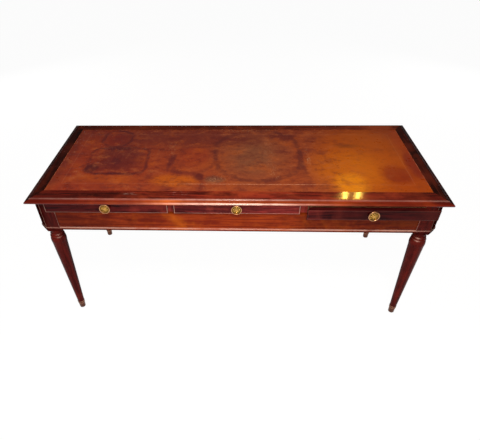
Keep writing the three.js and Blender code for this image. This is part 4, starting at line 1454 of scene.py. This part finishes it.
# %% [markdown]
# ## Light
# The world is pale at the horizon and dark above, as a room with pale walls is, which leaves the polish
# deep on top. A soft box lights the table from above, and a small lamp beside the camera draws the
# highlights. A ceiling lamp in front casts the shadows under the moulding and under the open drawer. Two
# fill lamps behind the table lighten its back. The ceiling and fill lamps are hidden from the camera and
# from reflections.

# %% World
world_tones = ((0.0, (0.5, 0.5, 0.5, 1)), (0.25, (0.05, 0.045, 0.04, 1)))
world = bpy.data.worlds.new("room")
world.use_nodes = True
bpy.context.scene.world = world
world.node_tree.nodes.clear()
height = axis_of(source(world, "TexCoord", "Generated"), 2)
ramp = add_node(world.node_tree, "ValToRGB", {0: height})
for element, (position, colour) in zip(ramp.color_ramp.elements, world_tones):
    element.position, element.color = position, colour
sky = {"Color": Signal(ramp.outputs[0]), "Strength": 1.0}
end_with(world, source(world, "Background", "Background", sky), "OutputWorld")
print("world nodes:", len(world.node_tree.nodes))

# %% Lamps
TABLE_MIDDLE = (0, 0, TABLE_HEIGHT)
FLASH_BACK = 0.03
flash_place = np.array(CAMERA_PLACE) + FLASH_BACK * view_axes[2]
day, bulb = (1, 0.96, 0.92), (1, 0.97, 0.94)
lamps = {
    "soft_box": ((-0.4, -0.3, 2.4), (1.6, 1.2), 7, day, False),
    "flash": (flash_place.tolist(), (0.1, 0.06), 11.2, bulb, False),
    "ceiling": ((0.1, -1.4, 2.3), (0.4, 0.4), 23.5, day, True),
    "fill_left": ((-2.0, 2.2, 0.9), (1.2, 0.8), 16, bulb, True),
    "fill_right": ((2.0, 2.2, 0.9), (1.2, 0.8), 16, bulb, True),
}


def add_lamp(name, place, target, size, power, colour, hidden=False):
    """A rectangular area lamp at a place that looks at a target, if hidden seen by its light alone."""
    data = bpy.data.lights.new(name, "AREA")
    data.shape = "RECTANGLE"
    data.size, data.size_y = size
    data.energy = power
    data.color = colour
    lamp = bpy.data.objects.new(name, data)
    bpy.context.scene.collection.objects.link(lamp)
    back = np.array(place) - np.array(target)
    back = back / np.linalg.norm(back)
    right = np.cross([0, 0, 1], back)
    right = right / np.linalg.norm(right)
    lamp.matrix_world = standing(place, right, np.cross(back, right), back)
    if hidden:
        lamp.visible_camera = False
        lamp.visible_glossy = False
    return lamp


for name, (place, size, power, colour, hidden) in lamps.items():
    add_lamp(name, place, TABLE_MIDDLE, size, power, colour, hidden)
print("lamps:", *lamps)

# %% [markdown]
# ## The warm lamps
# Two warm lamps are mirrored in the front border. A mirror shows a lamp where the angle out equals the
# angle in. So each one is put on the ray from the camera, bounced off the polished border at the point
# where its image is wanted.

# %% Warm lamps
MIRROR_SPOTS = ((0.309, -0.1995), (0.345, -0.1995))
LAMP_DISTANCE = 1.5
LAMP_SIZE = (0.026, 0.04)
WARM_POWER = 0.24
WARM_LIGHT = (1, 0.66, 0.11)
for count, (x, y) in enumerate(MIRROR_SPOTS):
    spot = np.array([x, y, TABLE_HEIGHT])
    ray = spot - np.array(CAMERA_PLACE)
    bounced = ray * np.array([1, 1, -1]) / np.linalg.norm(ray)
    place = spot + bounced * LAMP_DISTANCE
    add_lamp(f"warm_lamp_{count}", place.tolist(), spot.tolist(), LAMP_SIZE, WARM_POWER, WARM_LIGHT)
    print("warm lamp at", np.round(place, 3))

# %% Settings, measured box and finish
bpy.context.scene.view_settings.view_transform = "Standard"
low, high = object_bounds()
print("visual box:", np.round(low, 4), np.round(high, 4))
